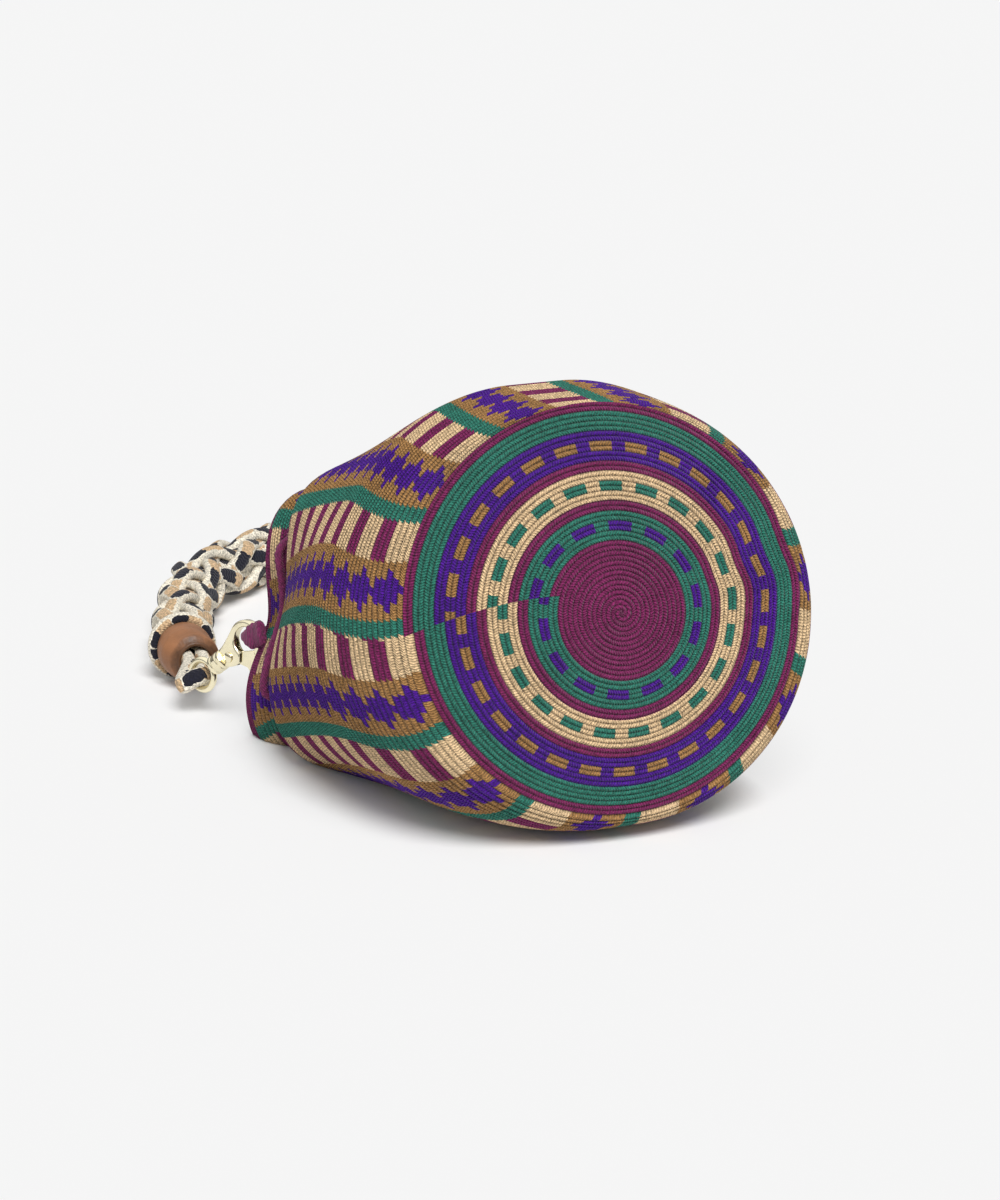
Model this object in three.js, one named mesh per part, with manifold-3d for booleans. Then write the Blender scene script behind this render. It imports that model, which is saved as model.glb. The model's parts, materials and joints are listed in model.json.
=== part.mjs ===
// Crocheted bucket bag lying on its side, with a drawstring mouth and a braided rope strap
// that clips to a loop on each side of the rim by a swivel trigger snap.
// Millimetres, +Z up. The round base faces -Y, the mouth +Y, and the origin lies on the floor
// under the belly. A turn of 0 is the bag's right side (+X), 90 its top and 180 its left side.
import * as THREE from 'three';
import { mergeVertices } from 'three/addons/utils/BufferGeometryUtils.js';
import Module from 'manifold-3d';

const wasm = await Module();
wasm.setup();

// Crochet fabric
const ROUND_PITCH = 4.33;
const BASE_ROUNDS = 21;
const PLAIN_ROUNDS = 3;
const WALL_RIDGES = 10;
const RIDGE_HEIGHT = 0.8;
const FABRIC_THICKNESS = 3.2;
const COLUMNS = 36;
const INNER_ROW_STEP = 4;
const INNER_BASE_ROWS = 1;

// Bag sections at the base ring, the belly and the mouth
const RING_PULL_IN = 5.13;
const RING_LIFT = 12.8;
const BELLY_WIDENING = 19;
const BELLY_RISE = 7;
const BELLY_SINK = 1;
const BELLY_DISTANCE = 45;
const MOUTH_HALF_WIDTH = 80.6;
const MOUTH_HALF_HEIGHT = 64.4;
const MOUTH_SINK = 20.7;
const WALL_LENGTH = 188;
const BASE_DOME = 15.8;

// How the soft bag slumps
const AXIAL_SHARE = 0.955;
const TAPER_POWER = 1.25;
const RING_LEAN = 12.7;
const RING_SKEW = -8.5;
const MOUTH_SKEW = -6.1;
const MOUTH_SHIFT = -2;
const MOUTH_SPREAD = 24.8;
const PEAR_SHARE = 0.12;
const PEAR_REACH = 60;
const FLOOR_SOFTNESS = 2;
const FOLD_START = 60;
const ORIGIN_BACK = 95;

// Gathers towards the mouth: turn and half-width in degrees, height outwards
const FOLDS = [
  { turn: 145, width: 13, height: 17 },
  { turn: 181, width: 14, height: -18 },
  { turn: 214, width: 13, height: 7 },
  { turn: 328, width: 12, height: 7 },
  { turn: 0, width: 13, height: -13 },
  { turn: 32, width: 12, height: 9 },
  { turn: 60, width: 11, height: -9 },
  { turn: 86, width: 11, height: 6 },
  { turn: 111, width: 10, height: -4 },
];

// Drawstring and its eyelets
const STRING_RADIUS = 2;
const STRING_DEPTH = 27;
const STRING_SIDES = 5;
const EYELET_RADIUS = 5.8;
const EYELET_CROSSING = 2.8;
const STRING_SPANS = [
  { from: 153, to: 199 },
  { from: 312, to: 353 },
  { from: 400, to: 455 },
];
const STRING_STEP = 9;
const STRING_SLACK = 6;
const STRING_CLEARANCE = 1.6;
const CINCH_DEPTH = 6;
const CINCH_REACH = 13;
const KNOT_TURN = 328;
const KNOT_RADIUS = 5.5;
const TAIL_REACH = 42;
const TAIL_SPREAD = 16;

// Loop tabs on the rim
const TAB_RADIUS = 2.4;
const TAB_REACH = 17.5;
const TAB_SEWN = 9;
const TAB_HALF_GAP = 7.4;

// Swivel trigger snap
const PLATE_THICKNESS = 4.8;
const EDGE_ROUND = 0.6;
const HOOK_CENTRE = -17;
const HOOK_RADIUS = 9.9;
const APERTURE_RADIUS = 6.6;
const PIVOT_X = -3.8;
const PIVOT_Z = -1.6;
const PIVOT_DISC = 3.5;
const HOOK_CROWN_ANGLE = 62;
const HOOK_TIP_ANGLE = 262;
const HOOK_LIP_ANGLE = 250;
const HOOK_THROAT_ANGLE = -30;
const CHEEK_DROP = 1.9;
const GATE_THICKNESS = 1.8;
const GATE_REACH = 15.7;
const GATE_TIP_HIGH = 196;
const GATE_TIP_LOW = 208;
const TRIGGER_LENGTH = 4.2;
const RIVET_RADIUS = 1.3;
const RIVET_HEAD = 2.5;
const RIVET_HEAD_HEIGHT = 0.8;
const SPRING_RADIUS = 0.55;
const SPRING_WIRE = 0.2;
const SPRING_TURNS = 3;
const BARREL_RADIUS = 4.7;
const BARREL_LENGTH = 9;
const POST_RADIUS = 2;
const POST_HEAD_RADIUS = 3;
const POST_HEAD_LENGTH = 2.2;
const POST_HEAD_START = 1.9;
const EYE_RADIUS = 5.4;
const EYE_WIRE = 1.6;

// Strap ends
const ROPE_RADIUS = 2.8;
const CORE_RADIUS = 10.3;
const WRAP_LENGTH = 18;
const WRAP_DOME = 8;
const LEATHER_THICKNESS = 2.2;
const LEATHER_CROWN = 0.5;
const COLLAR_ROPE = 3;
const LOOP_LENGTH = 35;
const LOOP_SPLAY = 3.6;

// Braided strap
const BRAID_RADIUS = 15.5;
const BRAID_SIDES = 8;
const BRAID_STEPS = 32;

// Facets of the round pieces
const CORD_SIDES = 6;
const CORD_STEPS = 18;
const TAIL_STEPS = 8;
const PIN_SIDES = 10;
const BARREL_SIDES = 12;
const WRAP_SIDES = 14;
const RING_SIDES = 16;

// Clearance between pieces that touch
const GAP = 0.3;

const BASE_RADIUS = BASE_ROUNDS * ROUND_PITCH;
const FABRIC_LENGTH = BASE_RADIUS + WALL_LENGTH;
const RING_RADIUS = BASE_RADIUS - RING_PULL_IN;
const RING_CENTRE = RING_RADIUS + RING_LIFT;
const BELLY_HALF_WIDTH = RING_RADIUS + BELLY_WIDENING;
const BELLY_HALF_HEIGHT = RING_RADIUS + BELLY_RISE;
const BELLY_CENTRE = BELLY_HALF_HEIGHT - BELLY_SINK;
const MOUTH_CENTRE = MOUTH_HALF_HEIGHT - MOUTH_SINK;
const STRING_ALONG = WALL_LENGTH - STRING_DEPTH;
const MOUTH_Y = AXIAL_SHARE * WALL_LENGTH - ORIGIN_BACK;
const COLLAR_RADIUS = CORE_RADIUS + GAP + COLLAR_ROPE;
const STRAP_END_HEIGHT = COLLAR_RADIUS + COLLAR_ROPE;
const EYE_CENTRE = BARREL_LENGTH + GAP + EYE_RADIUS + 2 * EYE_WIRE;
const TAB_APEX_X = HOOK_CENTRE - (APERTURE_RADIUS - TAB_RADIUS - 6 * GAP);
const TAB_APEX_Z = 1.8;
const WRAP_OPENING = LOOP_SPLAY + ROPE_RADIUS + 2 * GAP;

// The two ends of the strap: where each loop tab sits on the rim, the snap's yaw from +Y and
// pitch, how far the tab lifts from the snap's line, and seen from above the lead from the eye
// to the wrap and the heading of the wrap itself
const NEAR_END = { side: 'near', turn: 178, yaw: -25, pitch: -38, lift: 28, lead: 15, heading: 14 };
const FAR_END = { side: 'far', turn: 0, yaw: 40, pitch: -34, lift: 24, lead: 37, heading: 37 };

// The strap's route on the floor between its two ends, x and y from the mouth's plane
const STRAP_ROUTE = [
  [-46, 148],
  [-24, 186],
  [4, 210],
  [40, 227],
  [79, 254],
  [107, 284],
  [130, 317],
  [160, 345],
  [198, 361],
  [238, 357],
  [272, 334],
  [293, 298],
  [300, 257],
  [296, 216],
  [282, 177],
  [258, 143],
  [228, 116],
  [194, 96],
];

const TAU = 2 * Math.PI;
const { clamp, degToRad, lerp, smoothstep } = THREE.MathUtils;
const UP = new THREE.Vector3(0, 0, 1);

const palette = {
  crochet: { color: 0x6e2652, roughness: 0.95, metalness: 0 },
  plumCord: { color: 0x5d2246, roughness: 0.95, metalness: 0 },
  rope: { color: 0xe1d7c3, roughness: 0.95, metalness: 0 },
  leather: { color: 0xa5704b, roughness: 0.6, metalness: 0 },
  paleGold: { color: 0xebe1c3, roughness: 0.22, metalness: 1 },
  steel: { color: 0xb8b8b8, roughness: 0.35, metalness: 1 },
};
const materials = Object.fromEntries(
  Object.entries(palette).map(([name, look]) => [name, new THREE.MeshStandardMaterial(look)]),
);

// Solids for joins and cuts

function toSolid(geometry) {
  const bare = geometry.clone();
  bare.deleteAttribute('normal');
  bare.deleteAttribute('uv');
  const welded = mergeVertices(bare, 1e-4);
  const vertProperties = new Float32Array(welded.attributes.position.array);
  const triVerts = new Uint32Array(welded.index.array);
  return new wasm.Manifold(new wasm.Mesh({ numProp: 3, vertProperties, triVerts }));
}

function fromSolid(solid) {
  const mesh = solid.getMesh();
  const geometry = new THREE.BufferGeometry();
  geometry.setAttribute('position', new THREE.BufferAttribute(new Float32Array(mesh.vertProperties), 3));
  geometry.setIndex(new THREE.BufferAttribute(new Uint32Array(mesh.triVerts), 1));
  geometry.computeVertexNormals();
  return geometry;
}

function joined(first, ...others) {
  return fromSolid(others.reduce((solid, geometry) => solid.add(toSolid(geometry)), toSolid(first)));
}

function cut(body, ...tools) {
  return fromSolid(tools.reduce((solid, geometry) => solid.subtract(toSolid(geometry)), toSolid(body)));
}

function piece(name, geometry, material) {
  const mesh = new THREE.Mesh(geometry, materials[material]);
  mesh.name = name;
  return mesh;
}

// Simple shapes

function disc(radius, sides) {
  const corners = [];
  for (let i = 0; i < sides; i += 1) {
    const angle = (i / sides) * TAU;
    corners.push(new THREE.Vector2(radius * Math.cos(angle), radius * Math.sin(angle)));
  }
  return new THREE.Shape(corners);
}

function tube(curve, radius, sides, steps) {
  return new THREE.ExtrudeGeometry(disc(radius, sides), { steps, bevelEnabled: false, extrudePath: curve });
}

function rounded(points) {
  return new THREE.CatmullRomCurve3(points, false, 'centripetal');
}

// A turned solid about the X axis, from pairs of distance along X and radius
function turnedAlongX(profile, segments) {
  const points = profile.map(([x, radius]) => new THREE.Vector2(radius, x));
  return new THREE.LatheGeometry(points, segments).rotateZ(-Math.PI / 2);
}

// A ring about the Y axis with a round section
function ringAboutY(radius, wire, segments, sides) {
  const points = [];
  for (let i = 0; i <= sides; i += 1) {
    const angle = (-i / sides) * TAU;
    points.push(new THREE.Vector2(radius + wire * Math.cos(angle), -wire * Math.sin(angle)));
  }
  return new THREE.LatheGeometry(points, segments);
}

// A flat plate in the XZ plane, centred on Y, with its edges eased by the given amount
function plate(shape, thickness, edge) {
  const options = {
    depth: thickness - 2 * edge,
    curveSegments: 6,
    bevelEnabled: edge > 0,
    bevelThickness: edge,
    bevelSize: edge,
    bevelOffset: -edge,
    bevelSegments: 1,
  };
  const geometry = new THREE.ExtrudeGeometry(shape, options);
  return geometry.translate(0, 0, edge - thickness / 2).rotateX(Math.PI / 2);
}

// The bag's outer surface, by turn (radians) and distance along the fabric from the base's centre

function station(ring, belly, mouth, along) {
  const rise = clamp(along / BELLY_DISTANCE, 0, 1);
  const taper = clamp((along - BELLY_DISTANCE) / (WALL_LENGTH - BELLY_DISTANCE), 0, 1);
  const swell = Math.sqrt(1 - (1 - rise) ** 2);
  return ring + (belly - ring) * swell + (mouth - belly) * taper ** TAPER_POWER;
}

// A section with round ends and straight top and bottom, walked by its length from the left end
function section(turn, halfWidth, halfHeight, spread) {
  const radius = Math.min(halfHeight, halfWidth);
  const straight = halfWidth - radius;
  const perimeter = TAU * radius + 4 * straight;
  const fromLeft = THREE.MathUtils.euclideanModulo(turn, TAU) - Math.PI;
  const walk = (perimeter * fromLeft) / TAU + spread * Math.sin(fromLeft);
  const side = Math.sign(walk);
  const quarter = (Math.PI / 2) * radius;
  const length = Math.abs(walk);
  const first = clamp(length / radius, 0, Math.PI / 2);
  const run = clamp(length - quarter, 0, 2 * straight);
  const second = clamp((length - quarter - 2 * straight) / radius, 0, Math.PI / 2);
  const angle = first + second;
  return {
    x: run - straight - radius * Math.cos(angle),
    z: -side * radius * Math.sin(angle),
    outX: -Math.cos(angle),
    outZ: -side * Math.sin(angle),
  };
}

// How far the gathers stand out, less the waist that the drawstring pulls in
function foldHeight(turn, along) {
  const degrees = THREE.MathUtils.radToDeg(turn);
  const height = FOLDS.reduce((sum, fold) => {
    const away = THREE.MathUtils.euclideanModulo(degrees - fold.turn + 180, 360) - 180;
    return sum + fold.height * Math.exp(-((away / fold.width) ** 2));
  }, 0);
  const cinch = CINCH_DEPTH * Math.exp(-(((along - STRING_ALONG) / CINCH_REACH) ** 2));
  return height * smoothstep(along, FOLD_START, WALL_LENGTH) - cinch;
}

// Cloth pressed flat where it would sink into the floor
function restOnFloor(height) {
  if (height >= FLOOR_SOFTNESS) return height;
  if (height <= -FLOOR_SOFTNESS) return 0;
  return (height + FLOOR_SOFTNESS) ** 2 / (4 * FLOOR_SOFTNESS);
}

function wallPoint(turn, along) {
  const share = along / WALL_LENGTH;
  const halfWidth = station(RING_RADIUS, BELLY_HALF_WIDTH, MOUTH_HALF_WIDTH, along);
  const halfHeight = station(RING_RADIUS, BELLY_HALF_HEIGHT, MOUTH_HALF_HEIGHT, along);
  const centre = station(RING_CENTRE, BELLY_CENTRE, MOUTH_CENTRE, along);
  const outline = section(turn, halfWidth, halfHeight, MOUTH_SPREAD * share);
  const fold = foldHeight(turn, along);
  const up = outline.z + fold * outline.outZ;
  const pear = 1 - PEAR_SHARE * (up / halfHeight) * smoothstep(along, 0, PEAR_REACH);
  const across = (outline.x + fold * outline.outX) * pear;
  const lean = degToRad(lerp(RING_LEAN, 0, share));
  const skew = Math.tan(degToRad(lerp(RING_SKEW, MOUTH_SKEW, share)));
  return new THREE.Vector3(
    across + MOUTH_SHIFT * share ** 2,
    along * AXIAL_SHARE + up * Math.sin(lean) + skew * across - ORIGIN_BACK,
    restOnFloor(centre + up * Math.cos(lean)),
  );
}

const baseNormal = new THREE.Vector3(
  Math.tan(degToRad(RING_SKEW)),
  -Math.cos(degToRad(RING_LEAN)),
  Math.sin(degToRad(RING_LEAN)),
).normalize();

function bagPoint(turn, distance) {
  const rim = wallPoint(turn, Math.max(distance - BASE_RADIUS, 0));
  if (distance >= BASE_RADIUS) return rim;
  const share = distance / BASE_RADIUS;
  const centre = new THREE.Vector3(0, -ORIGIN_BACK, RING_CENTRE);
  return centre.lerp(rim, share).addScaledVector(baseNormal, BASE_DOME * (1 - share ** 2));
}

function bagNormal(turn, distance) {
  if (distance === 0) return baseNormal.clone();
  const step = 0.5;
  const low = bagPoint(turn, Math.max(distance - step, 0));
  const high = bagPoint(turn, Math.min(distance + step, FABRIC_LENGTH));
  const swing = step / BASE_RADIUS;
  const round = bagPoint(turn + swing, distance).sub(bagPoint(turn - swing, distance));
  return high.sub(low).cross(round).normalize();
}

function fabricPoint(turn, distance, offset) {
  const point = bagPoint(turn, distance).addScaledVector(bagNormal(turn, distance), offset);
  point.z = Math.max(point.z, 0);
  return point;
}

// The same, on the flat facets between two columns of the fabric
function facetPoint(turnDegrees, distance, offset) {
  const column = (turnDegrees / 360) * COLUMNS;
  const low = Math.floor(column);
  const from = fabricPoint((low / COLUMNS) * TAU, distance, offset);
  return from.lerp(fabricPoint(((low + 1) / COLUMNS) * TAU, distance, offset), column - low);
}

// Distances along the wall that part its swelling outline into equal lengths
function evenWallDistances(count) {
  const samples = 400;
  const lengths = [0];
  for (let i = 1; i <= samples; i += 1) {
    const [low, high] = [i - 1, i].map((step) => (step / samples) * WALL_LENGTH);
    const swell = station(RING_RADIUS, BELLY_HALF_WIDTH, MOUTH_HALF_WIDTH, high)
      - station(RING_RADIUS, BELLY_HALF_WIDTH, MOUTH_HALF_WIDTH, low);
    lengths.push(lengths[i - 1] + Math.hypot(AXIAL_SHARE * (high - low), swell));
  }
  const distances = [];
  for (let k = 1; k <= count; k += 1) {
    const target = (k / count) * lengths[samples];
    const above = lengths.findIndex((length) => length >= target - 1e-9);
    const part = (target - lengths[above - 1]) / (lengths[above] - lengths[above - 1]);
    distances.push(BASE_RADIUS + ((above - 1 + part) / samples) * WALL_LENGTH);
  }
  return distances;
}

// Bag body: a ridged outer skin, a turned rim and a plain inner skin

function bagRows() {
  const rows = [];
  for (let i = 2 * PLAIN_ROUNDS; i <= 2 * BASE_ROUNDS; i += 1) {
    rows.push({ distance: (i * ROUND_PITCH) / 2, offset: i % 2 ? RIDGE_HEIGHT : 0 });
  }
  const wall = evenWallDistances(2 * WALL_RIDGES);
  wall.forEach((distance, i) => rows.push({ distance, offset: i % 2 ? 0 : RIDGE_HEIGHT }));
  const waist = FABRIC_LENGTH - 2 * STRING_DEPTH;
  const inner = wall.filter((distance, i) => distance > waist || i % INNER_ROW_STEP === 1);
  inner.reverse().forEach((distance) => rows.push({ distance, offset: -FABRIC_THICKNESS }));
  for (let i = INNER_BASE_ROWS; i >= 1; i -= 1) {
    rows.push({ distance: (i / (INNER_BASE_ROWS + 1)) * BASE_RADIUS, offset: -FABRIC_THICKNESS });
  }
  return rows;
}

function bagSkin() {
  const rows = bagRows();
  const positions = [...fabricPoint(0, 0, 0)];
  rows.forEach(({ distance, offset }) => {
    for (let c = 0; c < COLUMNS; c += 1) {
      positions.push(...fabricPoint((c / COLUMNS) * TAU, distance, offset));
    }
  });
  positions.push(...fabricPoint(0, 0, -FABRIC_THICKNESS));
  const at = (row, column) => 1 + row * COLUMNS + (column % COLUMNS);
  const lastPole = 1 + rows.length * COLUMNS;
  const triangles = [];
  for (let c = 0; c < COLUMNS; c += 1) {
    triangles.push(0, at(0, c), at(0, c + 1));
    for (let r = 0; r < rows.length - 1; r += 1) {
      triangles.push(at(r, c), at(r + 1, c), at(r, c + 1));
      triangles.push(at(r, c + 1), at(r + 1, c), at(r + 1, c + 1));
    }
    triangles.push(at(rows.length - 1, c), lastPole, at(rows.length - 1, c + 1));
  }
  const geometry = new THREE.BufferGeometry();
  geometry.setAttribute('position', new THREE.Float32BufferAttribute(positions, 3));
  geometry.setIndex(triangles);
  return geometry;
}

const stringDistance = FABRIC_LENGTH - STRING_DEPTH;
const eyeletTurns = STRING_SPANS.flatMap((span) => [span.from, span.to]);

function eyeletCutter(turnDegrees) {
  const reach = 3 * FABRIC_THICKNESS;
  const cutter = new THREE.CylinderGeometry(EYELET_RADIUS, EYELET_RADIUS, 2 * reach, PIN_SIDES);
  const axis = bagNormal(degToRad(turnDegrees), stringDistance);
  cutter.applyQuaternion(new THREE.Quaternion().setFromUnitVectors(new THREE.Vector3(0, 1, 0), axis));
  const centre = facetPoint(turnDegrees, stringDistance, -FABRIC_THICKNESS / 2);
  return cutter.translate(...centre);
}

function bagBody() {
  return piece('bag_body', cut(bagSkin(), ...eyeletTurns.map(eyeletCutter)), 'crochet');
}

// Drawstring: threaded out and in through the eyelets and tied on the right side

const stringOutside = RIDGE_HEIGHT + STRING_CLEARANCE + STRING_RADIUS;
const stringInside = -(FABRIC_THICKNESS + STRING_CLEARANCE + STRING_RADIUS);

function stringAt(turnDegrees, offset) {
  return facetPoint(turnDegrees, stringDistance, offset);
}

// Degrees of turn that make the given length along the fabric
function turnFor(turnDegrees, length) {
  const reach = stringAt(turnDegrees + 1, 0).distanceTo(stringAt(turnDegrees - 1, 0));
  return (2 * length) / reach;
}

function stringRun(from, to, offset, slack) {
  const points = [];
  const count = Math.max(1, Math.round((to - from) / STRING_STEP));
  for (let i = 0; i <= count; i += 1) {
    const sag = slack * Math.sin((Math.PI * i) / count);
    points.push(stringAt(lerp(from, to, i / count), offset - sag));
  }
  return points;
}

function stringPath() {
  const points = [];
  const first = STRING_SPANS.findIndex((span) => span.from < KNOT_TURN && KNOT_TURN < span.to);
  const turns = STRING_SPANS.map((_, i) => {
    const lap = first + i >= STRING_SPANS.length ? 360 : 0;
    const span = STRING_SPANS[(first + i) % STRING_SPANS.length];
    return { from: span.from + lap, to: span.to + lap };
  });
  turns.push({ from: turns[0].from + 360, to: turns[0].to + 360 });
  turns.forEach((span, i) => {
    const start = i === 0 ? KNOT_TURN : span.from + turnFor(span.from, EYELET_CROSSING);
    const last = i === turns.length - 1;
    const end = last ? KNOT_TURN + 360 : span.to - turnFor(span.to, EYELET_CROSSING);
    points.push(...stringRun(start, end, stringOutside, 0));
    if (last) return;
    const next = turns[i + 1].from;
    points.push(stringAt(span.to, -FABRIC_THICKNESS / 2));
    const inner = [span.to + turnFor(span.to, EYELET_CROSSING), next - turnFor(next, EYELET_CROSSING)];
    points.push(...stringRun(...inner, stringInside, STRING_SLACK));
    points.push(stringAt(next, -FABRIC_THICKNESS / 2));
  });
  return points;
}

function drawstring() {
  const out = bagNormal(degToRad(KNOT_TURN), stringDistance);
  const knot = stringAt(KNOT_TURN, RIDGE_HEIGHT + STRING_CLEARANCE + KNOT_RADIUS);
  const path = stringPath();
  path[0] = knot.clone();
  path[path.length - 1] = knot.clone();
  const steps = Math.round(1.1 * path.length);
  const loop = tube(rounded(path), STRING_RADIUS, STRING_SIDES, steps);
  const ball = new THREE.SphereGeometry(KNOT_RADIUS, PIN_SIDES, CORD_SIDES).translate(...knot);
  const flat = out.clone().setZ(0).normalize();
  const along = UP.clone().cross(flat);
  const low = STRING_RADIUS + GAP;
  const tails = [-1, 1].map((side) => {
    const spot = (reach, spread, height) => knot.clone().setZ(height)
      .addScaledVector(flat, reach * TAIL_REACH)
      .addScaledVector(along, side * spread * TAIL_SPREAD);
    const points = [
      knot.clone(),
      spot(0.22, 0.2, lerp(low, knot.z, 0.5)),
      spot(0.5, 0.5, low + GAP),
      spot(0.75, 0.85, low),
      spot(1, 1, low),
    ];
    return tube(rounded(points), STRING_RADIUS, STRING_SIDES, TAIL_STEPS);
  });
  return piece('drawstring', joined(loop, ball, ...tails), 'plumCord');
}

// Frame of a strap end, worked out from the rim: the snap's axes, its origin and the wrap's place

function pointing(yaw, pitch) {
  return new THREE.Vector3(0, 1, 0).applyEuler(new THREE.Euler(degToRad(pitch), 0, -degToRad(yaw), 'ZXY'));
}

function endFrame(end) {
  const turn = degToRad(end.turn);
  const rim = facetPoint(end.turn, FABRIC_LENGTH, -FABRIC_THICKNESS / 2);
  const axis = pointing(end.yaw, end.pitch);
  const outward = bagNormal(turn, FABRIC_LENGTH);
  const beside = outward.addScaledVector(axis, -outward.dot(axis)).normalize();
  const across = beside.clone();
  if (axis.clone().cross(across).z < 0) across.negate();
  const upward = axis.clone().cross(across);
  const pull = axis.clone().applyAxisAngle(across, -degToRad(end.lift));
  const apex = rim.clone().addScaledVector(pull, TAB_REACH);
  const turnOf = new THREE.Matrix4().makeBasis(axis, across, upward);
  const origin = apex.clone()
    .addScaledVector(axis, -TAB_APEX_X)
    .addScaledVector(upward, -TAB_APEX_Z);
  const eye = origin.clone().addScaledVector(axis, EYE_CENTRE);
  const [lead, strap] = [pointing(end.lead, 0), pointing(end.heading, 0)];
  const wrap = eye.clone().addScaledVector(lead, LOOP_LENGTH).setZ(STRAP_END_HEIGHT);
  return { ...end, axis, pull, beside, apex, turnOf, origin, eye, strap, wrap };
}

// Loop tab: a crocheted cord sewn on both faces of the rim that passes through the hook

function loopTab(frame) {
  const outside = RIDGE_HEIGHT + 2 * GAP + TAB_RADIUS;
  const inside = -(FABRIC_THICKNESS + 2 * GAP + TAB_RADIUS);
  const sewn = FABRIC_LENGTH - TAB_SEWN;
  const bend = (side, spread, back) => frame.apex.clone()
    .addScaledVector(frame.beside, side * spread * TAB_HALF_GAP)
    .addScaledVector(frame.pull, -back * TAB_HALF_GAP);
  const points = [
    facetPoint(frame.turn, sewn, outside),
    facetPoint(frame.turn, FABRIC_LENGTH, outside),
    bend(1, 1, 1.05),
    bend(1, 0.6, 0.3),
    frame.apex,
    bend(-1, 0.6, 0.3),
    bend(-1, 1, 1.05),
    facetPoint(frame.turn, FABRIC_LENGTH, inside),
    facetPoint(frame.turn, sewn, inside),
  ];
  const cord = tube(rounded(points), TAB_RADIUS, CORD_SIDES, CORD_STEPS);
  return piece(`${frame.side}_loop_tab`, cord, 'plumCord');
}

// Snap body: a cast hook with a forked cheek for the gate and a barrel for the swivel post

const polar = (x, z, radius, degrees) => [
  x + radius * Math.cos(degToRad(degrees)),
  z + radius * Math.sin(degToRad(degrees)),
];

function hookShape() {
  const shape = new THREE.Shape();
  const lowEdge = PIVOT_Z - PIVOT_DISC - CHEEK_DROP;
  const [crown, tip] = [HOOK_CROWN_ANGLE, HOOK_TIP_ANGLE].map(degToRad);
  const [lip, throat] = [HOOK_LIP_ANGLE, HOOK_THROAT_ANGLE].map(degToRad);
  shape.moveTo(1, BARREL_RADIUS - 0.5);
  shape.quadraticCurveTo(PIVOT_X, BARREL_RADIUS, ...polar(HOOK_CENTRE, 0, HOOK_RADIUS, HOOK_CROWN_ANGLE));
  shape.absarc(HOOK_CENTRE, 0, HOOK_RADIUS, crown, tip, false);
  shape.lineTo(...polar(HOOK_CENTRE, 0, APERTURE_RADIUS, HOOK_LIP_ANGLE));
  shape.absarc(HOOK_CENTRE, 0, APERTURE_RADIUS, lip, throat, true);
  shape.lineTo(PIVOT_X - 1.4 * PIVOT_DISC, lowEdge + 0.4);
  shape.lineTo(PIVOT_X, lowEdge);
  shape.lineTo(1, 0.5 - BARREL_RADIUS);
  shape.closePath();
  return shape;
}

function gateSlot() {
  const room = PIVOT_DISC + 1.3 * GAP;
  const left = HOOK_CENTRE + APERTURE_RADIUS * 0.6;
  const shape = new THREE.Shape();
  shape.moveTo(PIVOT_X, PIVOT_Z + room);
  shape.lineTo(left, PIVOT_Z + room + 1);
  shape.lineTo(left, PIVOT_Z - 3 * room);
  shape.lineTo(PIVOT_X, PIVOT_Z - room);
  shape.absarc(PIVOT_X, PIVOT_Z, room, -Math.PI / 2, Math.PI / 2, false);
  return plate(shape, GATE_THICKNESS + 2 * GAP, 0);
}

function pinAlongY(radius, length, x, z) {
  return new THREE.CylinderGeometry(radius, radius, length, PIN_SIDES).translate(x, 0, z);
}

function snapBody(frame) {
  const hook = plate(hookShape(), PLATE_THICKNESS, EDGE_ROUND);
  const lip = 0.6;
  const barrel = turnedAlongX([
    [0, 0],
    [0, BARREL_RADIUS - lip],
    [lip, BARREL_RADIUS],
    [BARREL_LENGTH - lip, BARREL_RADIUS],
    [BARREL_LENGTH, BARREL_RADIUS - lip],
    [BARREL_LENGTH, 0],
  ], BARREL_SIDES);
  const chamberEnd = POST_HEAD_START + POST_HEAD_LENGTH + GAP;
  const bore = turnedAlongX([
    [POST_HEAD_START - GAP, 0],
    [POST_HEAD_START - GAP, POST_HEAD_RADIUS + GAP],
    [chamberEnd, POST_HEAD_RADIUS + GAP],
    [chamberEnd, POST_RADIUS + GAP],
    [BARREL_LENGTH + 1, POST_RADIUS + GAP],
    [BARREL_LENGTH + 1, 0],
  ], PIN_SIDES);
  const rivetHole = pinAlongY(RIVET_RADIUS + GAP, 2 * PLATE_THICKNESS, PIVOT_X, PIVOT_Z);
  const geometry = cut(joined(hook, barrel), bore, gateSlot(), rivetHole);
  return piece(`${frame.side}_snap_body`, geometry, 'paleGold');
}

function snapGate(frame) {
  const shape = new THREE.Shape();
  const tipLow = polar(PIVOT_X, PIVOT_Z, GATE_REACH, GATE_TIP_LOW);
  shape.absarc(PIVOT_X, PIVOT_Z, PIVOT_DISC, degToRad(250), degToRad(525), false);
  shape.lineTo(...polar(PIVOT_X, PIVOT_Z, GATE_REACH, GATE_TIP_HIGH));
  shape.absarc(PIVOT_X, PIVOT_Z, GATE_REACH, degToRad(GATE_TIP_HIGH), degToRad(GATE_TIP_LOW), false);
  shape.lineTo(tipLow[0] + 2.3, tipLow[1] + 0.2);
  shape.lineTo(tipLow[0] + 1.9, tipLow[1] - 0.85 * TRIGGER_LENGTH);
  shape.lineTo(tipLow[0] + 4.5, tipLow[1] - TRIGGER_LENGTH);
  shape.lineTo(tipLow[0] + 5.5, tipLow[1] + 1);
  shape.closePath();
  const rivetHole = pinAlongY(RIVET_RADIUS + GAP, 2 * PLATE_THICKNESS, PIVOT_X, PIVOT_Z);
  const geometry = cut(plate(shape, GATE_THICKNESS, 0), rivetHole);
  return piece(`${frame.side}_snap_gate`, geometry, 'paleGold');
}

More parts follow.
